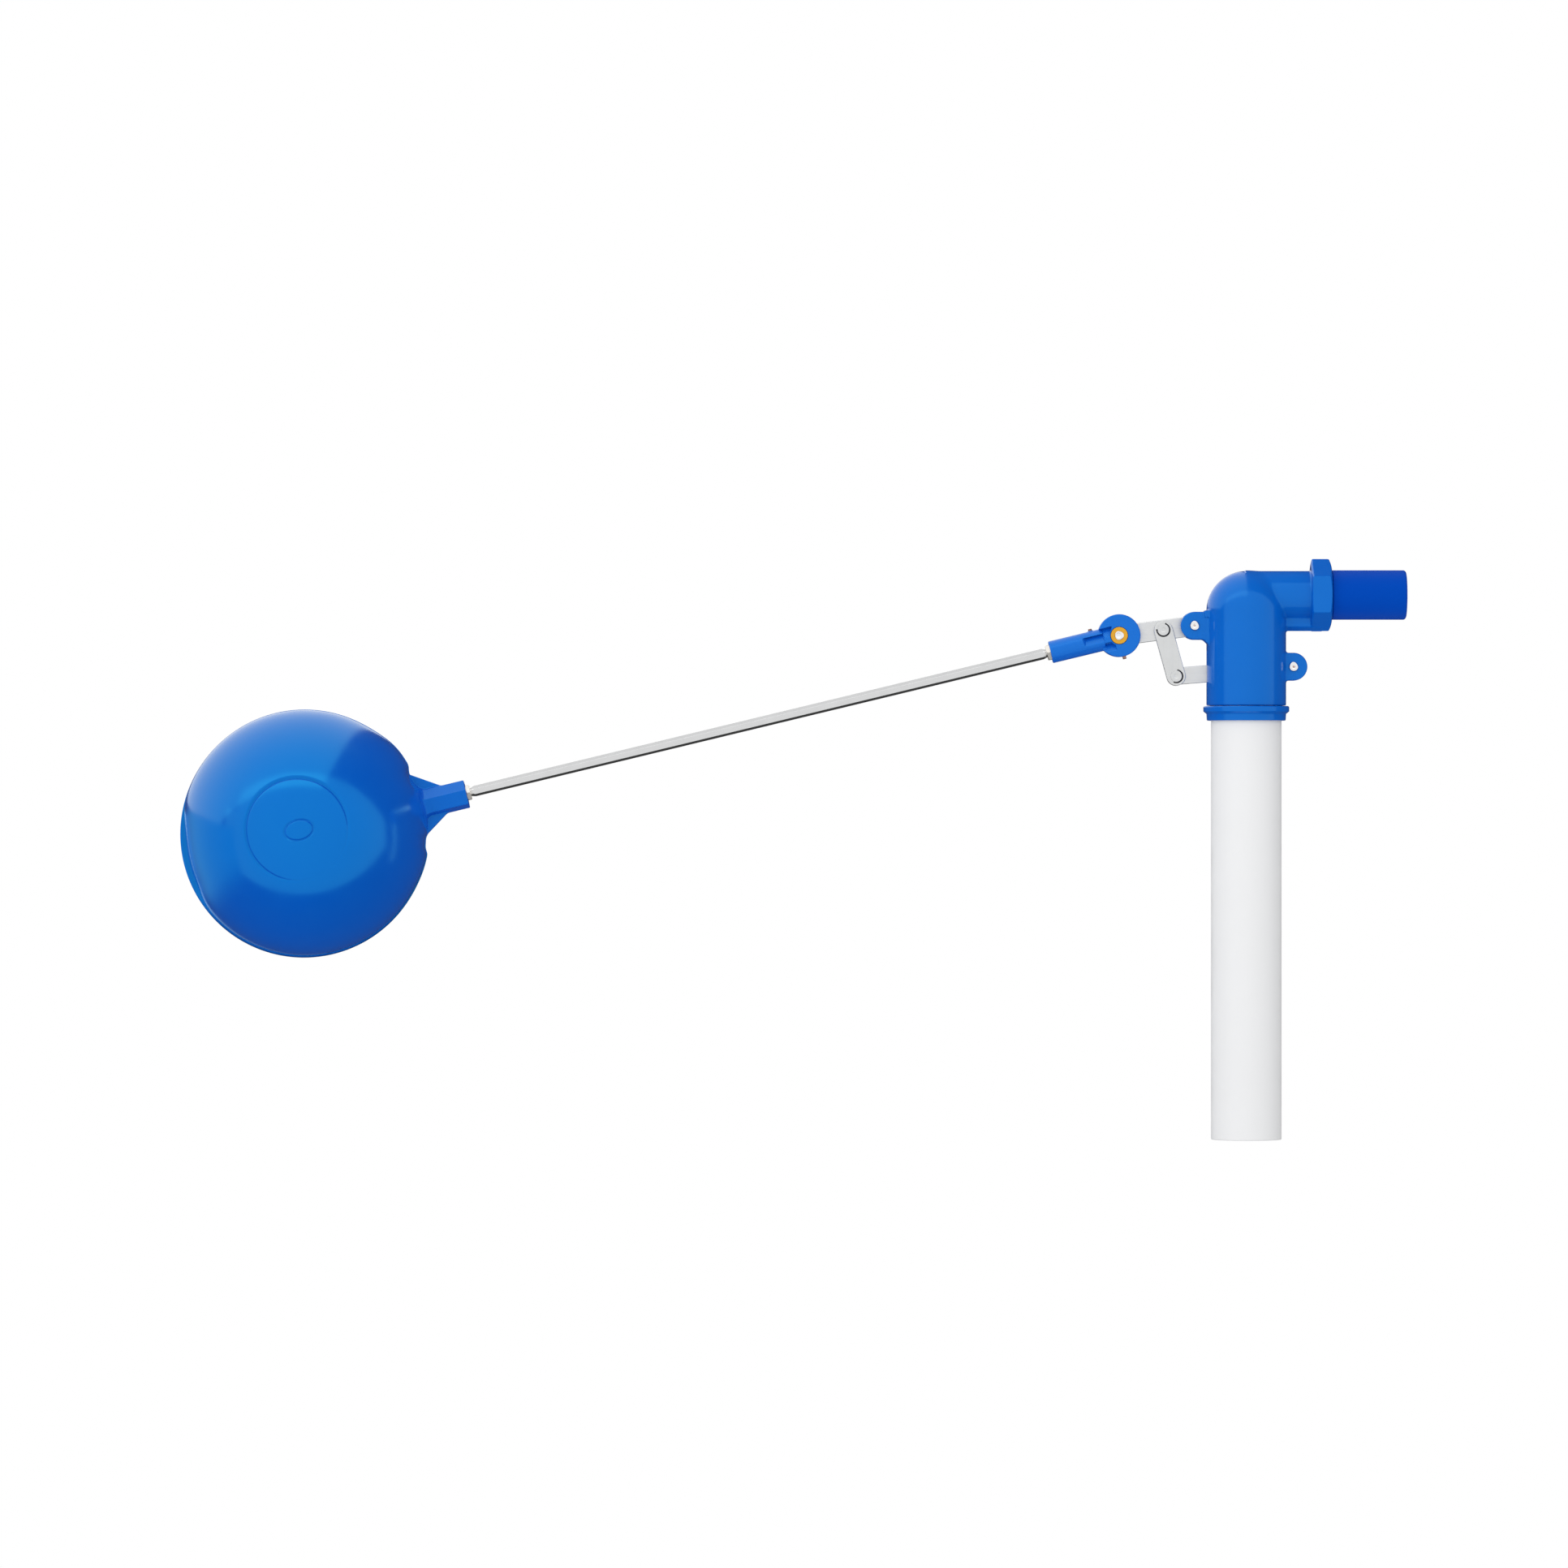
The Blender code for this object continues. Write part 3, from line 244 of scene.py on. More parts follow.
def add_piece(name, points, normals, faces, place, body, nodes, slot, material):
    """Mesh from arrays of points and normals, put in the model's frame, on a body in place of CAD nodes."""
    mesh = bpy.data.meshes.new(name)
    mesh.from_pydata(((points @ place[0].T + place[1]) * MM).tolist(), [], faces)
    mesh.shade_smooth()
    mesh.normals_split_custom_set_from_vertices((normals @ place[0].T).tolist())
    mesh.materials.append(material)
    obj = bpy.data.objects.new(name, mesh)
    bpy.context.scene.collection.objects.link(obj)
    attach(obj, body)
    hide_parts(*nodes)
    return obj


def grid_mesh(points, closed_rows):
    """Points, normals and faces of a grid of rows and columns whose columns close on themselves.

    A normal is the cross product of the differences along the two directions. A row whose points
    all coincide is a pole and becomes one point.
    """
    rows, columns = points.shape[:2]
    along = np.roll(points, -1, 1) - np.roll(points, 1, 1)
    if closed_rows:
        across = np.roll(points, -1, 0) - np.roll(points, 1, 0)
    else:
        across = np.gradient(points, axis=0)
    normals = np.cross(along, across)
    size = np.linalg.norm(normals, axis=2, keepdims=True)
    flat = size[..., 0] < TINY
    normals = normals / np.maximum(size, 1e-12)
    for row, inner in ((0, 1), (rows - 1, rows - 2)):
        if flat[row].any():
            mean = normals[inner].mean(0)
            normals[row] = mean / np.linalg.norm(mean)
    ids = np.arange(rows * columns).reshape(rows, columns)
    pole = np.ptp(points, axis=1).max(1) < TINY
    ids[pole] = ids[pole][:, :1]
    below = np.roll(ids, -1, 0) if closed_rows else ids[1:]
    above = ids if closed_rows else ids[:-1]
    quads = np.stack([above, np.roll(above, -1, 1), np.roll(below, -1, 1), below], axis=-1).reshape(-1, 4)
    used, quads = np.unique(quads, return_inverse=True)
    quads = quads.reshape(-1, 4)
    top = quads[:, 0] == quads[:, 1]
    bottom = quads[:, 2] == quads[:, 3]
    faces = quads[~top & ~bottom].tolist() + quads[top & ~bottom][:, [0, 2, 3]].tolist()
    faces += quads[bottom & ~top][:, [0, 1, 2]].tolist()
    return points.reshape(-1, 3)[used], normals.reshape(-1, 3)[used], faces


def rounded(corners, radius, steps=5, closed=True):
    """Outline through corners, each turned into an arc that touches both of its sides.

    The arc's centre lies on the corner's bisector at radius over the sine of half the angle.
    """
    corners = np.array(corners, float)
    count = len(corners)
    radii = np.broadcast_to(np.array(radius, float), count)
    outline = []
    for i in range(count):
        corner = corners[i]
        if not closed and i in (0, count - 1):
            outline.append(corner[None])
            continue
        to_last = corners[i - 1] - corner
        to_next = corners[(i + 1) % count] - corner
        sides = np.linalg.norm(to_last), np.linalg.norm(to_next)
        u, v = to_last / sides[0], to_next / sides[1]
        half = math.acos(max(-1.0, min(1.0, float(u @ v)))) / 2
        reach = min(radii[i] / math.tan(half), 0.48 * min(sides)) if half < 1.57 else 0.0
        if reach < 1e-6:
            outline.append(corner[None])
            continue
        size = reach * math.tan(half)
        middle = (u + v) / np.linalg.norm(u + v)
        centre = corner + middle * size / math.sin(half)
        first, last = corner + u * reach - centre, corner + v * reach - centre
        share = np.linspace(0.0, 1.0, steps + 1)[:, None]
        sweep = math.pi - 2 * half
        weight = np.sin((1 - share) * sweep), np.sin(share * sweep)
        outline.append(centre + (first * weight[0] + last * weight[1]) / math.sin(sweep))
    return np.concatenate(outline)


AXES = {
    "X": np.array([[0, 1, 0], [0, 0, 1], [1, 0, 0]], float),
    "Y": np.array([[0, 0, 1], [1, 0, 0], [0, 1, 0]], float),
    "Z": np.array([[1, 0, 0], [0, 1, 0], [0, 0, 1]], float),
}


def turned(profile, axis, centre, steps, closed, lobes):
    """Profile of (radius, height) carried round an axis: radius times cosine and sine, then height.

    Lobes, as (share, count, phase), swell the radius by a share times the cosine of so many turns.
    """
    angles = np.linspace(0.0, 2 * math.pi, steps, endpoint=False)
    swell = 1 + sum(share * np.cos(count * angles + phase) for share, count, phase in lobes)
    radius, height = profile[:, :1] * swell, np.broadcast_to(profile[:, 1:], (len(profile), steps))
    local = np.stack([radius * np.cos(angles), radius * np.sin(angles), height], axis=-1)
    return grid_mesh(local @ AXES[axis] + np.array(centre, float), closed)


def smooth_min(a, b, size):
    """Lesser of two distances, with a fillet of about the given size where they are nearly equal."""
    mix = np.maximum(size - np.abs(a - b), 0.0) / size
    return np.minimum(a, b) - mix * mix * size / 4


def smooth_max(a, b, size):
    """Greater of two distances, with a rounded edge of about the given size."""
    return -smooth_min(-a, -b, size)


def slab(value, low, high):
    """Distance from the layer between two planes."""
    return np.maximum(low - value, value - high)


def hexagon(flat, ridge, half, edge):
    """Distance from a hexagon, by how far a point lies towards a flat and along it."""
    return smooth_max(flat, 0.5 * flat + HEX_SIDE * ridge, edge) - half


def ramp(side, face, slope, along, share):
    """Distance from a floor that sinks under a face by a slope; the share makes it a true distance."""
    return share * (face - side - slope * along)


def bar_distance(x, z, start, end):
    """Distance in the plane from the line between two points."""
    dx, dz = end[0] - start[0], end[1] - start[1]
    share = np.clip(((x - start[0]) * dx + (z - start[1]) * dz) / (dx * dx + dz * dz), 0.0, 1.0)
    return np.hypot(x - start[0] - share * dx, z - start[1] - share * dz)


def slope_of(distance, points, step=0.02):
    """Gradient of a distance function by central differences."""
    parts = []
    for axis in range(3):
        shift = np.zeros(3)
        shift[axis] = step
        parts.append((distance(points + shift) - distance(points - shift)) / (2 * step))
    return np.stack(parts, axis=-1)


def edge_ends(axis):
    """Slices of a grid for both ends of its edges along an axis, and the two other axes."""
    head, tail = [slice(None)] * 3, [slice(None)] * 3
    head[axis], tail[axis] = slice(None, -1), slice(1, None)
    return tuple(head), tuple(tail), (axis + 1) % 3, (axis + 2) % 3


def moulded(distance, low, high, cell, rounds=4, least_slope=0.25):
    """Closed skin of a shape that several forms fuse into, where its distance function is zero.

    Each cell of a regular grid that the skin crosses holds one point, the mean of the crossings on the cell's
    edges, drawn onto the skin along the gradient. Each crossed grid edge joins the four cells round it.
    """
    low = np.array(low, float)
    counts = np.ceil((np.array(high) - low) / cell).astype(int) + 1
    lines = [low[i] + cell * np.arange(counts[i]) for i in range(3)]
    values = distance(np.stack(np.meshgrid(*lines, indexing="ij"), axis=-1))
    inside = values < 0
    cells = counts - 1
    total = np.zeros((*cells, 3))
    hits = np.zeros(cells)
    corner = np.stack(np.meshgrid(*[np.arange(n) for n in cells], indexing="ij"), axis=-1)
    for axis in range(3):
        head, tail, b, c = edge_ends(axis)
        first, second = values[head], values[tail]
        cross = inside[head] != inside[tail]
        share = np.where(cross, first / np.where(cross, first - second, 1.0), 0.0)
        for shift_b in (0, 1):
            for shift_c in (0, 1):
                part = [slice(None)] * 3
                part[b] = slice(shift_b, shift_b + cells[b])
                part[c] = slice(shift_c, shift_c + cells[c])
                on = cross[tuple(part)]
                spot = corner.astype(float)
                spot[..., axis] += share[tuple(part)]
                spot[..., b] += shift_b
                spot[..., c] += shift_c
                total += np.where(on[..., None], spot, 0.0)
                hits += on
    used = hits > 0
    ids = np.full(cells, -1)
    ids[used] = np.arange(used.sum())
    points = low + cell * total[used] / hits[used][:, None]
    quads = []
    for axis in range(3):
        head, tail, b, c = edge_ends(axis)
        for way in (True, False):
            spots = np.argwhere((inside[head] == way) & (inside[tail] != way))
            ring = []
            for shift_b, shift_c in ((-1, -1), (0, -1), (0, 0), (-1, 0)):
                cell_at = spots.copy()
                cell_at[:, b] += shift_b
                cell_at[:, c] += shift_c
                ring.append(ids[tuple(cell_at.T)])
            quad = np.stack(ring, axis=-1)
            quads.append(quad if way else quad[:, ::-1])
    for _ in range(rounds):
        slope = slope_of(distance, points)
        steepness = np.maximum((slope * slope).sum(1, keepdims=True), least_slope)
        step = distance(points)[:, None] * slope / steepness
        points = points - np.clip(step, -cell / 2, cell / 2)
    slope = slope_of(distance, points)
    normals = slope / np.maximum(np.linalg.norm(slope, axis=1, keepdims=True), TINY)
    return points, normals, np.concatenate(quads).tolist()


def add_node(tree, kind, inputs, **settings):
    """Shader node with its settings, each input given a value or linked from another node's output."""
    node = tree.nodes.new("ShaderNode" + kind)
    for name, value in settings.items():
        setattr(node, name, value)
    for socket, value in inputs.items():
        if isinstance(value, bpy.types.NodeSocket):
            tree.links.new(value, node.inputs[socket])
        else:
            node.inputs[socket].default_value = value
    return node


def new_material(name):
    """Empty material with its node tree, its shader and a reader of object coordinates."""
    material = bpy.data.materials.new(name)
    material.use_nodes = True
    tree = material.node_tree
    coords = add_node(tree, "TexCoord", {})
    return material, tree, tree.nodes["Principled BSDF"], coords.outputs["Object"]


def noise(tree, vector, scale, detail=2.0, stretch=None, tilt=0.0):
    """Noise at so many grains a metre, drawn out along axes by the stretch after a tilt about Y."""
    if stretch:
        drawn = {"Vector": vector, "Rotation": (0.0, tilt, 0.0), "Scale": stretch}
        vector = add_node(tree, "Mapping", drawn).outputs["Vector"]
    return add_node(tree, "TexNoise", {"Vector": vector, "Scale": scale, "Detail": detail}).outputs["Fac"]


def vary(tree, factor, low, high, socket):
    """Carry the middle range of a noise into a shader's value between two limits."""
    limits = {"Value": factor, "From Min": 0.3, "From Max": 0.7, "To Min": low, "To Max": high}
    tree.links.new(add_node(tree, "MapRange", limits).outputs["Result"], socket)


def tint(tree, factor, first, second, socket):
    """Carry a factor into a colour between two colours."""
    colours = {"Factor": factor, "A": (*first, 1.0), "B": (*second, 1.0)}
    tree.links.new(add_node(tree, "Mix", colours, data_type="RGBA").outputs["Result"], socket)


def roughen(tree, shader, height, strength, depth):
    """Small relief from a noise."""
    relief = {"Height": height, "Strength": strength, "Distance": depth * MM}
    tree.links.new(add_node(tree, "Bump", relief).outputs["Normal"], shader.inputs["Normal"])


def shade(colour, share):
    """Colour made lighter or darker."""
    return tuple(min(1.0, part * share) for part in colour)


def plastic(name, colour, roughness, sheen_tint, ior=1.55, mottle=0.05, relief=0.03):
    """Moulded plastic: faint flow mottle in the colour, uneven gloss and a fine orange-peel relief."""
    material, tree, shader, coords = new_material(name)
    dark, light = shade(colour, 1 - mottle), shade(colour, 1 + mottle)
    tint(tree, noise(tree, coords, 38.0), dark, light, shader.inputs["Base Color"])
    vary(tree, noise(tree, coords, 70.0, 4.0), roughness * 0.85, roughness * 1.15, shader.inputs["Roughness"])
    roughen(tree, shader, noise(tree, coords, 420.0, 3.0), relief, 0.05)
    shader.inputs["IOR"].default_value = ior
    shader.inputs["Specular Tint"].default_value = (*sheen_tint, 1.0)
    return material


def metal(name, colour, roughness, stretch, tilt=0.0, relief=0.05, mottle=0.05):
    """Metal with fine drawn or rolled lines along one direction and slightly uneven polish."""
    material, tree, shader, coords = new_material(name)
    lines = noise(tree, coords, 1.0, 3.0, stretch, tilt)
    dark, light = shade(colour, 1 - mottle), shade(colour, 1 + mottle)
    tint(tree, noise(tree, coords, 160.0), dark, light, shader.inputs["Base Color"])
    vary(tree, lines, roughness * 0.8, roughness * 1.2, shader.inputs["Roughness"])
    roughen(tree, shader, lines, relief, 0.02)
    shader.inputs["Metallic"].default_value = 1.0
    return material


PIN_BRIGHT, PIN_STAIN, PIN_STEEL = (0.94, 0.93, 0.92), (0.50, 0.33, 0.28), (0.93, 0.92, 0.91)


def pin_end(name, pivot):
    """Bright steel with ends stained towards the middle, by the distance from the pin's axis and a noise."""
    material = metal(name, PIN_STEEL, 0.25, (600.0,) * 3)
    tree = material.node_tree
    coords = tree.nodes["Texture Coordinate"].outputs["Object"]
    centre = (-pivot[0] * MM, 0.0, -pivot[1] * MM)
    centred = add_node(tree, "Mapping", {"Vector": coords, "Location": centre, "Scale": (1.0, 0.0, 1.0)})
    away = add_node(tree, "VectorMath", {0: centred.outputs["Vector"]}, operation="LENGTH")
    blur = {0: noise(tree, coords, 900.0), 1: 1.4 * MM, 2: away.outputs["Value"]}
    blurred = add_node(tree, "Math", blur, operation="MULTIPLY_ADD")
    spread = {"Value": blurred.outputs["Value"], "From Min": 0.8 * MM, "From Max": 1.6 * MM}
    edge = add_node(tree, "MapRange", spread)
    shader = tree.nodes["Principled BSDF"]
    tint(tree, edge.outputs["Result"], PIN_STAIN, PIN_BRIGHT, shader.inputs["Base Color"])
    return material


def darken_by(material, attribute, colour):
    """Carry an attribute of the mesh into a darker colour laid over the material's own, as painted shade."""
    tree = material.node_tree
    socket = tree.nodes["Principled BSDF"].inputs["Base Color"]
    share = add_node(tree, "Attribute", {}, attribute_name=attribute).outputs["Fac"]
    colours = {"Factor": share, "A": socket.links[0].from_socket, "B": (*colour, 1.0)}
    tree.links.new(add_node(tree, "Mix", colours, data_type="RGBA").outputs["Result"], socket)


SHEEN_BLUE = (0.2, 0.80, 1.0)
FLOAT_SHEEN = (0.05, 0.80, 1.0)
BOSS_SHEEN = (0.12, 0.9, 1.0)
WHITE = (1.0, 1.0, 1.0)
body_blue = plastic("body_blue", (0.0012, 0.114, 0.55), 0.17, SHEEN_BLUE, ior=1.62)
head_blue = plastic("head_blue", (0.0012, 0.108, 0.59), 0.3, SHEEN_BLUE, ior=1.7, relief=0.01)
float_blue = plastic("float_blue", (0.0012, 0.086, 0.51), 0.17, FLOAT_SHEEN, ior=2.05, mottle=0.03)
# Painted shade: a darker blue mixed into the float's colour along the flange's lower edge, where that edge
# lies in shadow
darken_by(float_blue, "flange_painted_shade", (0.0012, 0.03, 0.22))
boss_blue = plastic("boss_blue", (0.0012, 0.085, 0.55), 0.3, BOSS_SHEEN, ior=1.65, mottle=0.03)
spigot_blue = plastic(
    "spigot_blue", (0.0010, 0.055, 0.43), 0.5, FLOAT_SHEEN, ior=1.15, mottle=0.04, relief=0.01
)
tube_white = plastic("tube_white", (0.785, 0.79, 0.80), 0.45, WHITE, ior=1.4, mottle=0.012, relief=0.01)
acetal = plastic("acetal", (0.78, 0.78, 0.74), 0.42, WHITE, ior=1.48, mottle=0.02)
rubber = plastic("rubber", (0.018, 0.018, 0.018), 0.75, WHITE, ior=1.5, mottle=0.2, relief=0.1)
lever_sheet = metal("lever_sheet", (0.785, 0.795, 0.80), 0.45, (25.0, 1500.0, 1500.0), LEVER_SLOPE)
link_sheet = metal("link_sheet", (0.77, 0.78, 0.78), 0.45, (1500.0, 1500.0, 25.0), LINK_LEAN)
clip_steel = metal("clip_steel", (0.035, 0.035, 0.04), 0.4, (900.0,) * 3)
rod_bar = metal("rod_bar", (0.75, 0.755, 0.76), 0.22, (15.0, 1800.0, 1800.0), ARM_SLOPE, relief=0.015)
bolt_steel = metal("bolt_steel", (0.94, 0.94, 0.95), 0.25, (600.0,) * 3)
turned_steel = metal("turned_steel", (0.80, 0.79, 0.79), 0.22, (600.0,) * 3)
nut_steel = metal("nut_steel", (0.76, 0.73, 0.68), 0.3, (500.0,) * 3)
bronzed = metal("bronzed", (0.36, 0.22, 0.19), 0.4, (500.0,) * 3)
brass = metal("brass", (0.86, 0.44, 0.05), 0.3, (500.0,) * 3)


def body_distance(p):
    """Elbow: a domed column, a limb with a web under it, a hexagon with turned corners and two pairs of ears.

    The lever's ears have a sloping gusset under their root and a small block above it. The waterway, the
    tube's socket, the lower lever's slots and the pins' holes are taken out.
    """
    x, y, z = p[..., 0], np.abs(p[..., 1]), p[..., 2]
    radius = np.hypot(x - BODY_AXIS, y)
    from_inlet = np.hypot(y, z)
    column = np.hypot(radius, np.maximum(z - DOME_CENTRE, 0.0)) - BODY_RADIUS
    limb_length = slab(x, BODY_AXIS, -HEX_LENGTH / 2)
    shape = smooth_min(column, np.maximum(from_inlet - LIMB_RADIUS, limb_length), 1.4)
    flats = hexagon(y, np.abs(z), HEX_HALF, 0.5)
    web = smooth_max(np.maximum(y - WEB_HALF, z), flats, 1.2)
    shape = smooth_min(shape, np.maximum(web, limb_length), 1.2)
    collar = smooth_max(flats, slab(x, -HEX_LENGTH, 0.0), 0.9)
    for face, land, turn in (
        (x, HEX_OUTER_LAND, HEX_OUTER_TURN), (-(x + HEX_LENGTH), HEX_INNER_LAND, HEX_INNER_TURN)
    ):
        collar = smooth_max(collar, face * math.cos(turn) + (from_inlet - land) * math.sin(turn), 0.6)
    shape = smooth_min(shape, collar, 0.8)
    for pivot, (near, far), boss_near in (
        (LEVER_PIVOT, LEVER_EAR, LEVER_EAR_BOSS), (ROCKER_PIVOT, ROCKER_EAR, ROCKER_EAR_BOSS)
    ):
        outline = bar_distance(x, z, pivot, (BODY_AXIS, pivot[1])) - EAR_RADIUS
        shape = smooth_min(shape, smooth_max(outline, slab(y, near, far), 0.9), 1.6)
        boss = np.hypot(x - pivot[0], z - pivot[1]) - EAR_BOSS_RADIUS
        shape = np.minimum(shape, smooth_max(boss, slab(y, boss_near, near + EAR_BOSS_SUNK), 0.5))
    gusset = np.maximum(slab(x, GUSSET_END, BODY_AXIS), z - GUSSET_TOP)
    gusset = np.maximum((-GUSSET_LINE - x - z) / math.sqrt(2.0), gusset)
    shape = smooth_min(shape, smooth_max(gusset, slab(y, *LEVER_EAR), 0.9), 0.8)
    root_block = np.maximum(slab(x, *ROOT_BLOCK_X), slab(z, *ROOT_BLOCK_Z))
    shape = smooth_min(shape, smooth_max(root_block, slab(y, *ROOT_BLOCK_Y), 0.5), 0.3)
    shape = smooth_max(shape, BODY_FOOT - z, 0.4)
    cuts = np.maximum(radius - CHAMBER_RADIUS, slab(z, SOCKET_TOP - 1.0, CHAMBER_TOP))
    cuts = np.minimum(cuts, np.maximum(radius - SOCKET_RADIUS, z - SOCKET_TOP))
    bore = np.sqrt(np.minimum(x - BODY_AXIS, 0.0) ** 2 + from_inlet**2) - INLET_BORE
    cuts = np.minimum(cuts, bore)
    cuts = np.minimum(cuts, np.maximum(from_inlet - SHANK_BORE, SHANK_END - x))
    cuts = np.minimum(cuts, np.maximum(radius - THROAT_RADIUS, slab(z, CHAMBER_TOP - 1.0, 0.0)))
    left = np.maximum(x - BODY_AXIS, slab(z, *LEFT_SLOT))
    right = np.maximum(slab(x, BODY_AXIS, RIGHT_SLOT_END), slab(z, *RIGHT_SLOT))
    cuts = np.minimum(cuts, np.maximum(y - SLOT_HALF, np.minimum(left, right)))
    for pivot in (LEVER_PIVOT, ROCKER_PIVOT):
        cuts = np.minimum(cuts, np.hypot(x - pivot[0], z - pivot[1]) - PIN_HOLE)
    return smooth_max(shape, -cuts, 0.5)


add_piece(
    "elbow_body",
    *moulded(body_distance, (-81.0, -22.5, -59.5), (1.2, 22.5, 20.5), BODY_CELL),
    HOUSING, "housing", ["valve_body"], "body_plastic", body_blue,
)


def add_turned(
    name, profile, axis, place, body, node, slot, material, centre=(0, 0, 0), steps=96, closed=True, lobes=()
):
    """Piece from a profile carried round an axis, in place of one CAD node."""
    skin = turned(profile, axis, centre, steps, closed, lobes)
    return add_piece(name, *skin, place, body, [node], slot, material)


# Profiles are corners of (radius, height) with a radius of rounding for each
AXIS_FOOT = (BODY_AXIS, 0.0, 0.0)
add_turned(
    "pipe_tail",
    rounded(
        [(8.5, -20.0), (10.3, -20.0), (10.3, 0.3), (13.0, 0.3), (13.0, 39.2), (8.5, 39.2)],
        [0.4, 0.4, 0.2, 0.3, 1.6, 0.6], 8,
    ),
    "X", HOUSING, "housing", "inlet_spigot", "spigot_plastic", spigot_blue, steps=128,
)
add_turned(
    "beaded_ring",
    rounded(
        [(18.8, -66.0), (20.7, -66.0), (20.9, -62.5), (22.55, -61.2), (22.55, -58.4), (18.8, -58.2)],
        [0.3, 0.6, 0.5, 0.6, 0.8, 0.4], 6,
    ),
    "Z", HOUSING, "housing", "outlet_collar", "body_plastic", body_blue, AXIS_FOOT, 128,
)
add_turned(
    "drop_tube",
    rounded([(16.5, -286.1), (18.5, -286.1), (18.5, -48.4), (16.5, -48.4)], [0.4, 0.6, 0.4, 0.4], 6),
    "Z", HOUSING, "housing", "discharge_tube", "tube_pvc", tube_white, AXIS_FOOT, 128,
)


def headed(shank, head, under, top, dimple, edge):
    """Outline of a pin with a dimpled head at each end, from its lower middle to its upper middle."""
    upper = [(shank, under), (head, under), (head, top)]
    upper += [(1.6 * dimple, top), (dimple, top - 0.2), (0.0, top - 0.25)]
    lower = [(radius, -height) for radius, height in upper[::-1]]
    return rounded(lower + upper, edge, 4, closed=False)


for pin, pivot, under in (("lever_pin", LEVER_PIVOT, 7.05), ("rocker_pin", ROCKER_PIVOT, 5.25)):
    add_turned(
        pin + "_peened", headed(2.0, 2.35, under, under + 0.9, 0.7, 0.35), "Y", HOUSING, "housing", pin,
        "pin_steel", pin_end(pin + "_end", pivot), (pivot[0], 0.0, pivot[1]), 72, closed=False,
        lobes=((0.05, 2, 0.6), (0.04, 3, 0.2)),
    )
for rivet, foot in (("link_rivet_upper", 0.0), ("link_rivet_lower", -LINK_LENGTH)):
    add_turned(
        rivet + "_pressed", headed(2.0, 3.0, LINK_FACE + 0.05, LINK_FACE + 0.4, 0.9, 0.35), "Y",
        LINK, "link", rivet, "lever_steel", link_sheet, (0.0, 0.0, foot), 64, closed=False,
    )


def clip_arc(foot, start, end, lug):
    """Open spring ring round a rivet: an oval carried along an arc, thick in the middle or at its ends."""
    share = np.linspace(0.0, 1.0, 80)[:, None]
    path = np.radians(start + (end - start) * share - math.degrees(LINK_LEAN))
    turn = np.linspace(0.0, 2 * math.pi, 16, endpoint=False)[None]
    near_end = np.minimum(share, 1 - share)
    taper = np.sqrt(np.clip(near_end / 0.012, 0.0, 1.0))
    half = CLIP_HALF + CLIP_SWELL * np.sin(math.pi * share) + lug * np.exp(-((near_end / 0.035) ** 2))
    reach = CLIP_RADIUS + half * taper * np.cos(turn)
    depth = -LINK_FACE - CLIP_PROUD + CLIP_DEPTH * np.sin(turn) * taper
    points = np.stack([reach * np.cos(path), depth + 0 * path, reach * np.sin(path) + foot], axis=-1)
    return grid_mesh(points, False)


for clip, node, foot, start, end, lug in (
    ("upper_clip", "link_rivet_upper", 0.0, 175.0, 435.0, 0.3),
    ("lower_clip", "link_rivet_lower", -LINK_LENGTH, -115.0, 82.0, 0.0),
):
    add_piece(clip, *clip_arc(foot, start, end, lug), LINK, "link", [node], "lever_steel", clip_steel)


def plate(start, end, radius, near, far, holes):
    """Distance of a flat bar with round ends between two layers, less round holes given as (x, z, radius)."""

    def distance(p):
        x, y, z = p[..., 0], p[..., 1], p[..., 2]
        shape = smooth_max(bar_distance(x, z, start, end) - radius, slab(y, near, far), 0.45)
        for hole_x, hole_z, hole in holes:
            shape = smooth_max(shape, hole - np.hypot(x - hole_x, z - hole_z), 0.3)
        return shape

    return distance


def add_plate(name, start, end, radius, near, far, holes, place, body, node, material):
    """Flat lever or link plate in place of its CAD node."""
    edge = radius + 1.0
    low = (min(start[0], end[0]) - edge, near - 1.0, min(start[1], end[1]) - edge)
    high = (max(start[0], end[0]) + edge, far + 1.0, max(start[1], end[1]) + edge)
    skin = moulded(plate(start, end, radius, near, far, holes), low, high, PLATE_CELL)
    add_piece(name, *skin, place, body, [node], "lever_steel", material)


add_plate(
    "upper_lever", (-LEVER_LENGTH, 0.0), (0.0, 0.0), 5.3, -LEVER_HALF, LEVER_HALF,
    [(-along, 0.0, PIN_HOLE) for along in (0.0, LEVER_CRANK, LEVER_LENGTH)],
    LEVER, "lever", "float_lever", lever_sheet,
)
add_plate(
    "lower_lever", (-ROCKER_LENGTH, 0.0), (0.0, 0.0), 4.5, -LEVER_HALF, LEVER_HALF,
    [(0.0, 0.0, PIN_HOLE), (-ROCKER_LENGTH, 0.0, ROCKER_SLACK_HOLE)],
    ROCKER, "rocker", "rocker_lever", lever_sheet,
)
for node, near in (("link_plate_front", -LINK_FACE), ("link_plate_rear", LINK_FACE - LINK_THICKNESS)):
    add_plate(
        node + "_pressed", (0.0, -LINK_LENGTH), (0.0, -0.4), 5.0, near, near + LINK_THICKNESS,
        [(0.0, 0.0, PIN_HOLE), (0.0, -LINK_LENGTH, PIN_HOLE)], LINK, "link", node, link_sheet,
    )


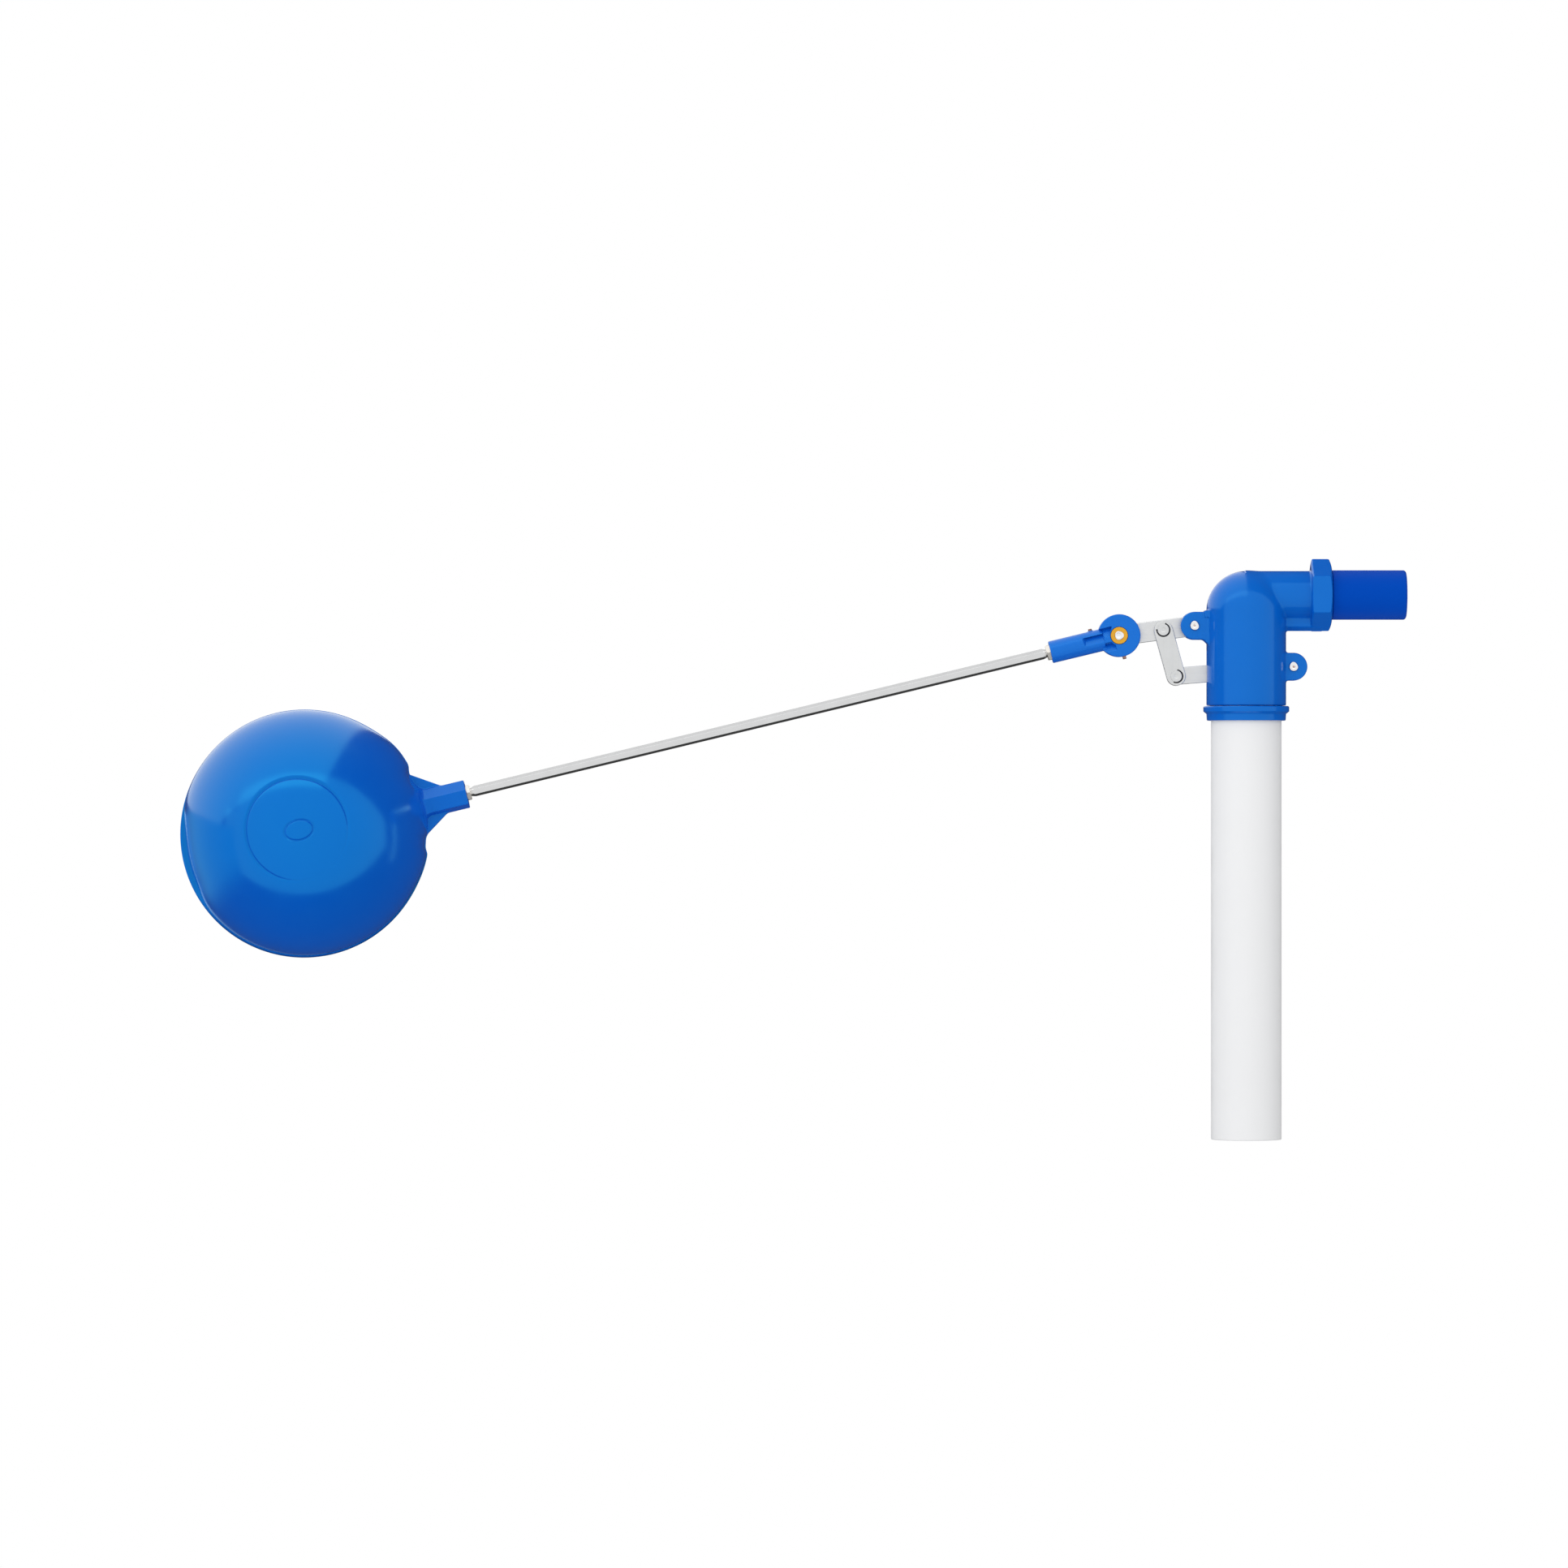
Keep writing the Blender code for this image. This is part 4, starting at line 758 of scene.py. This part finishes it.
def head_distance(p):
    """Clamp disc with a sloping hollow each side of its neck, fused with the rod's socket.

    The socket has a tapering pocket in each face and a boss for a screw. The lever's slot and all bores are
    taken out.
    """
    x, y, z = p[..., 0], p[..., 1], p[..., 2]
    side = np.abs(y)
    from_pivot = np.hypot(x, z)
    disc = smooth_max(from_pivot - HEAD_RADIUS, side - HEAD_HALF, 0.8)
    upper = np.maximum(x + 4.6 - 0.3 * z, slab(z, *UPPER_HOLLOW))
    upper = np.maximum(ramp(side, HEAD_HALF, 0.57, z - UPPER_HOLLOW[0], 0.87), upper)
    lower = np.maximum(x + 3.0, slab(z, *LOWER_HOLLOW))
    lower = np.maximum(ramp(side, HEAD_HALF, 0.7, z - LOWER_HOLLOW[0], 0.82), lower)
    hollow = np.maximum(np.minimum(upper, lower), np.maximum(HOLLOW_FLOOR - side, HOLLOW_START - from_pivot))
    disc = smooth_max(disc, -hollow, 0.3)
    socket = np.hypot(y, z + HEAD_SOCKET_DROP) - HEAD_SOCKET_RADIUS
    socket = smooth_max(socket, slab(x, *HEAD_SOCKET), 0.6)
    shape = smooth_min(disc, socket, 0.5)
    tip = x - POCKET_TIP + 0.25 * (z - POCKET[1])
    pocket = np.maximum(
        ramp(side, POCKET_FACE, 0.72, z - POCKET[0], 0.81), ramp(side, POCKET_TIP_FACE, 1.2, tip, 0.64)
    )
    pocket = np.maximum(pocket, np.maximum(x - POCKET_START, slab(z, *POCKET)))
    shape = smooth_max(shape, -pocket, 0.3)
    boss = np.hypot(x - ROD_SCREW_X, y)
    shape = smooth_min(shape, smooth_max(boss - ROD_SCREW_BOSS, slab(z, *ROD_SCREW_BOSS_Z), 0.5), 0.6)
    cuts = np.maximum(side - CHEEK_SLOT_HALF, CHEEK_SLOT_END - x)
    for distance in (
        np.maximum(np.hypot(y, z) - ROD_BORE, x - ROD_BORE_START),
        np.maximum(from_pivot - PIN_HOLE, -y),
        np.maximum(from_pivot - BUSH_SEAT, y),
        np.maximum(np.hypot(x, y - INSERT_SCREW_Y) - INSERT_SCREW_HOLE, z),
        np.maximum(boss - ROD_SCREW_HOLE, -z),
    ):
        cuts = np.minimum(cuts, distance)
    return smooth_max(shape, -cuts, 0.3)


add_piece(
    "clamp_head", *moulded(head_distance, (-38.2, -7.0, -12.5), (12.5, 7.0, 12.5), HEAD_CELL),
    ARM, "arm", ["arm_head"], "head_plastic", head_blue,
)
add_turned(
    "brass_bush", rounded([(2.2, -5.3), (4.5, -5.3), (4.5, -1.55), (2.2, -1.55)], 0.3), "Y",
    ARM, "arm", "head_insert", "brass", brass,
)
add_turned(
    "plain_washer", rounded([(2.2, 5.35), (4.6, 5.35), (4.6, 6.35), (2.2, 6.35)], 0.25), "Y",
    ARM, "arm", "clamp_washer", "pin_steel", turned_steel,
)


def bolt_distance(p):
    """Hexagon head with a turned face on a round shank with a lobed lip round its cupped tip."""
    x, y, z = p[..., 0], p[..., 1], p[..., 2]
    radius = np.hypot(x, z)
    head = hexagon(np.abs(z), np.abs(x), BOLT_HEAD_HALF, 0.2)
    head = smooth_max(head, slab(y, *BOLT_HEAD), 0.2)
    head = smooth_max(head, 0.9 * (y - BOLT_HEAD[1]) + 0.45 * (radius - 3.4), 0.2)
    shank = smooth_max(radius - BOLT_SHANK_RADIUS, slab(y, *BOLT_SHANK), 0.5)
    lip = radius - BOLT_LIP_RADIUS - 0.12 * np.cos(3 * np.arctan2(z, x) + 0.5)
    shank = np.minimum(shank, smooth_max(lip, slab(y, *BOLT_LIP), 0.3))
    cup = (x - BOLT_CUP[0]) ** 2 + (z - BOLT_CUP[2]) ** 2 + (y - BOLT_CUP[1]) ** 2
    return np.minimum(head, smooth_max(shank, BOLT_CUP_RADIUS - np.sqrt(cup), 0.4))


add_piece(
    "clamp_bolt_hex", *moulded(bolt_distance, (-5.0, -6.4, -4.5), (5.0, 10.0, 4.5), SMALL_CELL),
    ARM, "arm", ["clamp_bolt"], "pin_steel", bolt_steel,
)
for screw, spot, low, high in (
    ("insert_screw", (0.0, INSERT_SCREW_Y, 0.0), -12.7, -4.65),
    ("rod_screw", (ROD_SCREW_X, 0.0, 0.0), 2.65, 7.05),
):
    add_turned(
        screw + "_turned", rounded([(0.0, low), (1.0, low), (1.0, high), (0.0, high)], 0.3, 4, closed=False),
        "Z", ARM, "arm", screw, "pin_steel", bronzed, spot, 40, closed=False,
    )


def rod_grid():
    """Bar with the radius of a rounded hexagon at each angle, drawn in to threads at its ends.

    The thread's radius swings with the length less the angle, which makes a helix.
    """
    plain = np.concatenate([
        np.linspace(ROD_END, ROD_END + 2.8, 12), np.linspace(ROD_END + 6.0, ROD_START - 6.0, 60),
        np.linspace(ROD_START - 2.8, ROD_START, 12),
    ])
    rows = np.concatenate([
        np.arange(THREAD_END, ROD_END - 0.1, THREAD_ROW), plain,
        np.arange(ROD_START + 0.1, THREAD_START, THREAD_ROW),
    ])[:, None]
    angles = np.linspace(0.0, 2 * math.pi, 96, endpoint=False)[None]
    wedge = (angles - ROD_ROLL + math.pi / 6) % (math.pi / 3) - math.pi / 6
    flats = np.minimum(ROD_FLAT / np.cos(wedge), ROD_CORNER)
    from_end = np.minimum(rows - ROD_END, ROD_START - rows)
    bar = np.minimum(flats, ROD_NECK + 0.25 * np.maximum(from_end, 0.0))
    thread = THREAD_RADIUS + THREAD_DEPTH * np.sin(2 * math.pi * rows / THREAD_PITCH - angles)
    radius = np.where(from_end >= 0.0, bar, thread)
    tips = np.minimum(rows - THREAD_END, THREAD_START - rows)
    radius = np.minimum(radius, THREAD_TIP + 0.8 * tips)
    along = np.broadcast_to(rows, radius.shape)
    points = np.stack([along, -radius * np.cos(angles), -radius * np.sin(angles)], axis=-1)
    first, last = points[:1].copy(), points[-1:].copy()
    first[..., 1:] = last[..., 1:] = 0.0
    return grid_mesh(np.concatenate([first, points, last]), False)


add_piece("hexagon_rod", *rod_grid(), ARM, "arm", ["arm_rod"], "rod_steel", rod_bar)


def nut(middle):
    """Distance of a hexagon nut along X with a corner to the front, turned faces and a bore."""

    def distance(p):
        x, y, z = np.abs(p[..., 0] - middle), np.abs(p[..., 1]), np.abs(p[..., 2])
        radius = np.hypot(y, z)
        shape = smooth_max(hexagon(z, y, NUT_HALF, 0.25), x - NUT_DEPTH, 0.25)
        shape = smooth_max(shape, 0.87 * (x - NUT_DEPTH) + 0.5 * (radius - NUT_LAND), 0.2)
        return smooth_max(shape, NUT_BORE - radius, 0.3)

    return distance


for node, middle in (("lock_nut_head", -37.8), ("lock_nut_float", -351.6)):
    add_piece(
        node + "_hex",
        *moulded(nut(middle), (middle - 2.0, -5.4, -4.8), (middle + 2.0, 5.4, 4.8), SMALL_CELL),
        ARM, "arm", [node], "rod_steel", nut_steel,
    )


def compass(angles, at):
    """Degrees between angles on the rim, counted from +Z towards +X, and a direction counted from +X."""
    return np.degrees((math.pi / 2 - angles - math.radians(at) + math.pi) % (2 * math.pi) - math.pi)


def step_up(value, at, spread):
    """Smooth step from nought to one round a place."""
    return 1 / (1 + np.exp(-(value - at) / spread))


def flange_edge(angles):
    """Radius of the flange's edge, with low humps beside the ribs."""
    off = compass(angles, 0.0)
    upper = 0.9 * np.exp(-(((off - 30.0) / 10.0) ** 2))
    return FLANGE_RADIUS + upper + 0.5 * np.exp(-(((off + 24.0) / 12.0) ** 2))


def rib_notch(angles):
    """Depth by which the rim draws in where the two ribs meet it."""
    upper = 1.9 * np.exp(-((compass(angles, 13.5) / 5.0) ** 4))
    return upper + 1.5 * np.exp(-((compass(angles, -18.0) / 4.0) ** 4))


def flange_width(angles):
    """Width of the flange beside the ball: a band away from the arm that thins out below the ball."""
    off = compass(angles, FLANGE_SIDE)
    band = step_up(off, -27.0, 4.0) * (1 - 0.72 * step_up(off, 11.0, 3.0) - 0.1 * step_up(off, 60.0, 9.0))
    return 0.3 + 3.25 * band * (1 - step_up(off, 130.0, 10.0))


def flange_lean(angles):
    """Slope of the flange's face, flat on the wide band and falling outwards below the ball."""
    off = compass(angles, FLANGE_SIDE)
    return FLANGE_LEAN * step_up(off, 13.0, 3.0) * (1 - step_up(off, 130.0, 10.0))


def ball_swell(angles, steepness):
    """Share by which the ball's reach across grows towards its seam, where it meets the flange."""
    reach = flange_edge(angles) - flange_width(angles)
    return 1 + (reach / BALL_RADIUS - 1) * steepness**4 - rib_notch(angles) / BALL_RADIUS * steepness**24


def float_half(side):
    """Half ball: an ellipsoid by its angle from the pole, with a ring groove and an oval pip near the pole.

    The groove and the sunk disc inside it fade out on one side. The reach at the seam leaves room for the
    welding flange: a hollow quarter circle out of the ball, a flat face and a quarter of an ellipse round
    the edge to the joint. An inner sphere closes the wall.
    """
    angles = np.linspace(0.0, 2 * math.pi, 360, endpoint=False)[None]
    edge, width = flange_edge(angles) - rib_notch(angles), flange_width(angles)
    ring = math.asin(POLE_DISC / BALL_RADIUS)
    lip, curl = 0.4 + 0.22 * width, 0.3 * width
    rise = flange_lean(angles) * (width - 2 * curl)
    seam = np.arccos((lip + rise + curl) / BALL_RADIUS)
    inside, start = ring - RING_SPAN, ring + RING_SPAN
    polar = np.concatenate([
        np.linspace(0.0, PIP_SPAN, 44, endpoint=False), np.linspace(PIP_SPAN, inside, 16, endpoint=False),
        np.linspace(inside, start, 30, endpoint=False),
    ])[:, None] + 0 * angles
    polar = np.concatenate([polar, start + (seam - start) * np.linspace(0.0, 1.0, 72)[:, None]])
    across = BALL_RADIUS * np.sin(polar)
    local_x, local_z = across * np.sin(angles), across * np.cos(angles)
    deep = step_up(np.cos(np.radians(compass(angles, GROOVE_SIDE))) * across / POLE_DISC, -0.45, 0.15)
    groove = (0.03 + 0.77 * deep) * np.exp(-(((across - POLE_DISC) / GROOVE_WIDTH) ** 2))
    sunk = -(0.02 + 0.38 * deep) / (1 + np.exp((across - POLE_DISC) / 0.15)) - groove
    oval = np.hypot((local_x - PIP_CENTRE[0]) / PIP_HALF[0], (local_z - PIP_CENTRE[1]) / PIP_HALF[1])
    pip = 0.3 * np.exp(-(oval**6)) - 0.62 * np.exp(-(((oval - 1.08) / 0.09) ** 2))
    radius = BALL_RADIUS + sunk + pip
    outward = radius * np.sin(polar) * ball_swell(angles, np.sin(polar))
    height = radius * np.cos(polar)
    root = outward[-1:]
    turn = np.linspace(0.0, math.pi / 2, 9)[1:, None]
    share = np.linspace(0.0, 1.0, 5)[1:, None]
    lip_out = [root + curl * (1 - np.cos(turn)), root + curl + (edge - root - 2 * curl) * share]
    lip_out += [edge - curl * (1 - np.sin(turn))]
    lip_height = [lip + rise + curl * (1 - np.sin(turn)), lip + rise * (1 - share)]
    lip_height += [FLANGE_JOINT + (lip - FLANGE_JOINT) * np.cos(turn)]
    hollow = np.linspace(math.pi / 2 - 0.01, 0.0, 24)[:, None]
    inner = BALL_RADIUS - BALL_WALL
    outward = np.concatenate([outward, *lip_out, inner + 0 * edge, inner * np.sin(hollow) + 0 * edge])
    height = np.concatenate([height, *lip_height, FLANGE_JOINT + 0 * edge, inner * np.cos(hollow) + 0 * edge])
    points = np.stack([outward * np.sin(angles), side * height, outward * np.cos(angles)], axis=-1)
    points += np.array([FLANGE_SHIFT[0], 0.0, FLANGE_SHIFT[1]])
    return grid_mesh(points if side < 0 else points[::-1], False)


def flange_painted_shade(points):
    """Share of painted shade on the flange, darkening it towards its edge below the ball, where that edge
    lies in shadow.
    """
    x, z = points[:, 0] - FLANGE_SHIFT[0], points[:, 2] - FLANGE_SHIFT[1]
    angles = np.arctan2(x, z)
    off = compass(angles, FLANGE_SIDE)
    from_edge = flange_edge(angles) - np.hypot(x, z)
    below = step_up(off, 20.0, 5.0) * (1 - step_up(off, 150.0, 6.0))
    return 0.9 * below * (1 - step_up(from_edge, 0.65, 0.08))


for node, side in (("float_half_front", -1), ("float_half_rear", 1)):
    skin = float_half(side)
    half_ball = add_piece(node + "_blown", *skin, FLOAT, "arm", [node], "float_plastic", float_blue)
    # Painted shade along the flange's lower edge, stored per point for the float's material
    shade_shares = half_ball.data.attributes.new("flange_painted_shade", "FLOAT", "POINT")
    shade_shares.data.foreach_set("value", flange_painted_shade(skin[0]))


def ball_distance(p):
    """Distance from the ball's skin, by shrinking the reach across by its swell."""
    x, y, z = p[..., 0] - FLANGE_SHIFT[0], p[..., 1], p[..., 2] - FLANGE_SHIFT[1]
    across = np.hypot(x, z)
    steepness = across / np.maximum(np.hypot(across, y), 1e-6)
    return np.hypot(across / ball_swell(np.arctan2(x, z), steepness), y) - BALL_RADIUS


def boss_distance(p):
    """Hexagon boss rolled a little about its length, a rib above and below, filleted into the ball.

    A thin skirt of that skin round the boss is kept, and the bush's bore is taken out.
    """
    x, y, z = p[..., 0], p[..., 1], p[..., 2] + BOSS_DROP
    flat = np.abs(z * math.cos(BOSS_ROLL) + y * math.sin(BOSS_ROLL))
    ridge = np.abs(y * math.cos(BOSS_ROLL) - z * math.sin(BOSS_ROLL))
    boss = smooth_max(hexagon(flat, ridge, BOSS_HALF, 0.4), x - BOSS_END, 0.4)
    run, drop = RIB_TIP[0] - RIB_ROOT[0], RIB_ROOT[1] - RIB_TIP[1]
    rib = ((x - RIB_ROOT[0]) * drop + (np.abs(z) - RIB_ROOT[1]) * run) / math.hypot(run, drop)
    rib = smooth_max(rib, np.abs(y) - RIB_HALF, 0.4)
    ball = ball_distance(p)
    swollen = ball + 0.15 - 0.5 * np.exp(-((z / 12.0) ** 4) - (y / 9.0) ** 4)
    shape = smooth_min(np.maximum(boss, BOSS_ROOT - x), swollen, 3.0)
    shape = smooth_min(shape, np.maximum(rib, BOSS_ROOT - x), 0.8)
    shape = np.maximum(shape, -SKIRT_SUNK - ball)
    skirt = np.maximum(np.abs(p[..., 1]) - SKIRT_HALF[0], np.abs(p[..., 2]) - SKIRT_HALF[1])
    shape = np.maximum(shape, np.maximum(SKIRT_START - x, skirt))
    return smooth_max(shape, -np.maximum(np.hypot(p[..., 1], p[..., 2]) - BUSH_BORE, BUSH_FLOOR - x), 0.4)


add_piece(
    "ribbed_boss", *moulded(boss_distance, (56.0, -17.0, -23.5), (89.4, 17.0, 23.5), BOSS_CELL),
    FLOAT, "arm", ["float_boss"], "float_plastic", boss_blue,
)

# Inner pieces keep their CAD shape
for node, material in (
    ("seat_ring", brass), ("plug_body", acetal), ("plug_washer", rubber), ("washer_screw", turned_steel),
    ("float_insert", brass),
):
    frame["nodes"][node].material_slots[0].material = material

# Stage: camera, lamps, world and floor, in metres
camera_data = bpy.data.cameras.new("camera")
camera_data.lens = 186.34
camera_data.sensor_width = 36.0
camera_data.clip_end = 50.0
camera = bpy.data.objects.new("camera", camera_data)
camera.location = (-0.2876, -4.265, -0.0993)
camera.rotation_euler = (math.pi / 2, 0.0, 0.0)
bpy.context.scene.collection.objects.link(camera)
bpy.context.scene.camera = camera


def fade_panel(lamp, across, up):
    """Let a lamp's radiance rise smoothly from one corner to full at shares of its width and height."""
    lamp.use_nodes = True
    tree = lamp.node_tree
    place = add_node(tree, "NewGeometry", {}).outputs["Parametric"]
    split = add_node(tree, "SeparateXYZ", {"Vector": place})
    rises = {}
    for count, (axis, reach) in enumerate((("X", across), ("Y", up))):
        limits = {"Value": split.outputs[axis], "From Max": reach}
        rise = add_node(tree, "MapRange", limits, interpolation_type="SMOOTHSTEP")
        rises[count] = rise.outputs["Result"]
    product = add_node(tree, "Math", rises, operation="MULTIPLY")
    tree.links.new(product.outputs["Value"], tree.nodes["Emission"].inputs["Strength"])


def add_panel(name, centre, rotation, size, radiance, in_gloss=True, colour=WHITE, fade=None):
    """Soft rectangular lamp of a given radiance, hidden from the camera, for the gloss or as plain fill."""
    width, height = size
    lamp = bpy.data.lights.new(name, "AREA")
    lamp.shape = "RECTANGLE"
    lamp.size, lamp.size_y = width, height
    lamp.energy = radiance * math.pi * width * height
    lamp.color = colour
    if fade:
        fade_panel(lamp, *fade)
    panel = bpy.data.objects.new(name, lamp)
    panel.location = centre
    panel.rotation_euler = rotation
    panel.visible_camera = False
    panel.visible_glossy = in_gloss
    panel.visible_diffuse = not in_gloss
    bpy.context.scene.collection.objects.link(panel)
    return panel


TO_BACK = (math.pi / 2, 0.0, 0.0)
FROM_LEFT = (math.radians(80.0), 0.0, math.radians(-21.0))
TO_RIGHT = (math.pi / 2, 0.0, -math.pi / 2)
TO_LEFT = (math.pi / 2, 0.0, math.pi / 2)
TO_FRONT = (math.pi / 2, 0.0, math.pi)
DOWN = (0.0, 0.0, 0.0)
add_panel("front_panel", (5.2, -1.5, -0.05), TO_BACK, (19.0, 5.2), 0.85)
add_panel("front_fill", (-0.9, -1.6, 0.2), FROM_LEFT, (3.0, 3.0), 0.6, in_gloss=False)
add_panel("top_fill", (-0.29, 0.0, 1.2), DOWN, (1.6, 1.6), 0.5, in_gloss=False)
float_panels = [
    add_panel(
        "left_panel", (-3.5, 2.405, -1.43), TO_RIGHT, (7.19, 3.14), 0.8,
        colour=(0.27, 0.87, 1.0), fade=(0.612, 0.67),
    ),
    add_panel("corner_panel", (-3.5, -0.895, 0.5), TO_RIGHT, (0.59, 0.72), 0.8),
    add_panel(
        "rim_panel", (-1.575, 5.0, -1.2), TO_FRONT, (2.05, 2.2), 1.4,
        colour=(0.35, 0.65, 1.0), fade=(0.02, 1.0),
    ),
    add_panel(
        "flank_panel", (-3.35, 5.0, -0.9), TO_FRONT, (1.5, 1.6), 0.6,
        colour=(0.05, 0.4, 1.0), fade=(0.02, 0.6),
    ),
]
plastic_panels = [add_panel("top_panel", (-6.775, 5.95, 1.03), DOWN, (13.5, 14.1), 1.1)]
metal_panels = [
    add_panel("metal_top", (-0.275, 5.95, 1.03), DOWN, (26.5, 14.1), 0.8),
    add_panel("back_panel", (-0.29, 1.5, 0.4), TO_FRONT, (9.0, 2.0), 0.7),
    add_panel("metal_left", (-4.5, 0.0, 0.3), TO_RIGHT, (5.0, 1.4), 0.7),
    add_panel("metal_right", (4.0, 0.0, 0.3), TO_LEFT, (5.0, 1.4), 0.7),
]
metal_pieces = bpy.data.collections.new("metal_pieces")
plastic_pieces = bpy.data.collections.new("plastic_pieces")
float_pieces = bpy.data.collections.new("float_pieces")
for piece in bpy.context.scene.objects:
    if piece.type == "MESH" and piece.material_slots:
        finish = piece.material_slots[0].material
        shader = finish.node_tree.nodes["Principled BSDF"]
        is_metal = shader.inputs["Metallic"].default_value == 1.0
        (metal_pieces if is_metal else plastic_pieces).objects.link(piece)
        if finish in (float_blue, boss_blue):
            float_pieces.objects.link(piece)
for panels, receivers in (
    (metal_panels, metal_pieces), (plastic_panels, plastic_pieces), (float_panels, float_pieces)
):
    for panel in panels:
        panel.light_linking.receiver_collection = receivers

GLOSS_SHARE = 0.05
AMBIENT_SHARE = 0.8
world = bpy.data.worlds.new("studio")
bpy.context.scene.world = world
world.use_nodes = True
world_tree = world.node_tree
background = world_tree.nodes["Background"]
background.inputs["Color"].default_value = (1.0, 1.0, 1.0, 1.0)
path = add_node(world_tree, "LightPath", {})


def world_math(operation, first, second):
    """Sum, product or greater of two sockets or numbers in the world's nodes."""
    return add_node(world_tree, "Math", {0: first, 1: second}, operation=operation).outputs["Value"]


seen = world_math("MAXIMUM", path.outputs["Is Camera Ray"], path.outputs["Is Transmission Ray"])
gloss = world_math("MULTIPLY", path.outputs["Is Glossy Ray"], GLOSS_SHARE)
ambient = world_math("MULTIPLY", path.outputs["Is Diffuse Ray"], AMBIENT_SHARE)
strength = world_math("ADD", world_math("ADD", seen, gloss), ambient)
world_tree.links.new(strength, background.inputs["Strength"])

FLOOR_MIDDLE = (-0.29, 0.0, -0.6)
FLOOR_HALF = 0.9
FLOOR_FADE = (0.3, 0.88)
floor_mesh = bpy.data.meshes.new("floor")
corners = np.array([(-1, -1, 0), (1, -1, 0), (1, 1, 0), (-1, 1, 0)]) * FLOOR_HALF + np.array(FLOOR_MIDDLE)
floor_mesh.from_pydata(corners.tolist(), [], [(0, 1, 2, 3)])
floor = bpy.data.objects.new("floor", floor_mesh)
bpy.context.scene.collection.objects.link(floor)
floor.visible_glossy = False

# The floor fades to white away from the middle, and the camera sees through it from below
floor_material, floor_tree, floor_shader, floor_coords = new_material("floor_pale")
floor_shader.inputs["Base Color"].default_value = (0.86, 0.86, 0.86, 1.0)
floor_shader.inputs["Roughness"].default_value = 0.8
for_camera = add_node(floor_tree, "LightPath", {}).outputs["Is Camera Ray"]
away = add_node(floor_tree, "VectorMath", {0: floor_coords, 1: FLOOR_MIDDLE}, operation="DISTANCE")
reach = {"Value": away.outputs["Value"], "From Min": FLOOR_FADE[0], "From Max": FLOOR_FADE[1]}
fade = add_node(floor_tree, "MapRange", reach, interpolation_type="SMOOTHSTEP")
backfacing = add_node(floor_tree, "NewGeometry", {}).outputs["Backfacing"]
surface = floor_shader.outputs["BSDF"]
for share, other in (
    (fade.outputs["Result"], add_node(floor_tree, "Emission", {}).outputs["Emission"]),
    (backfacing, add_node(floor_tree, "BsdfTransparent", {}).outputs["BSDF"]),
):
    share_seen = add_node(floor_tree, "Math", {0: share, 1: for_camera}, operation="MULTIPLY")
    blend = add_node(floor_tree, "MixShader", {"Fac": share_seen.outputs["Value"], 1: surface, 2: other})
    surface = blend.outputs["Shader"]
floor_tree.links.new(surface, floor_tree.nodes["Material Output"].inputs["Surface"])
floor_mesh.materials.append(floor_material)

bpy.context.scene.view_settings.view_transform = "Standard"
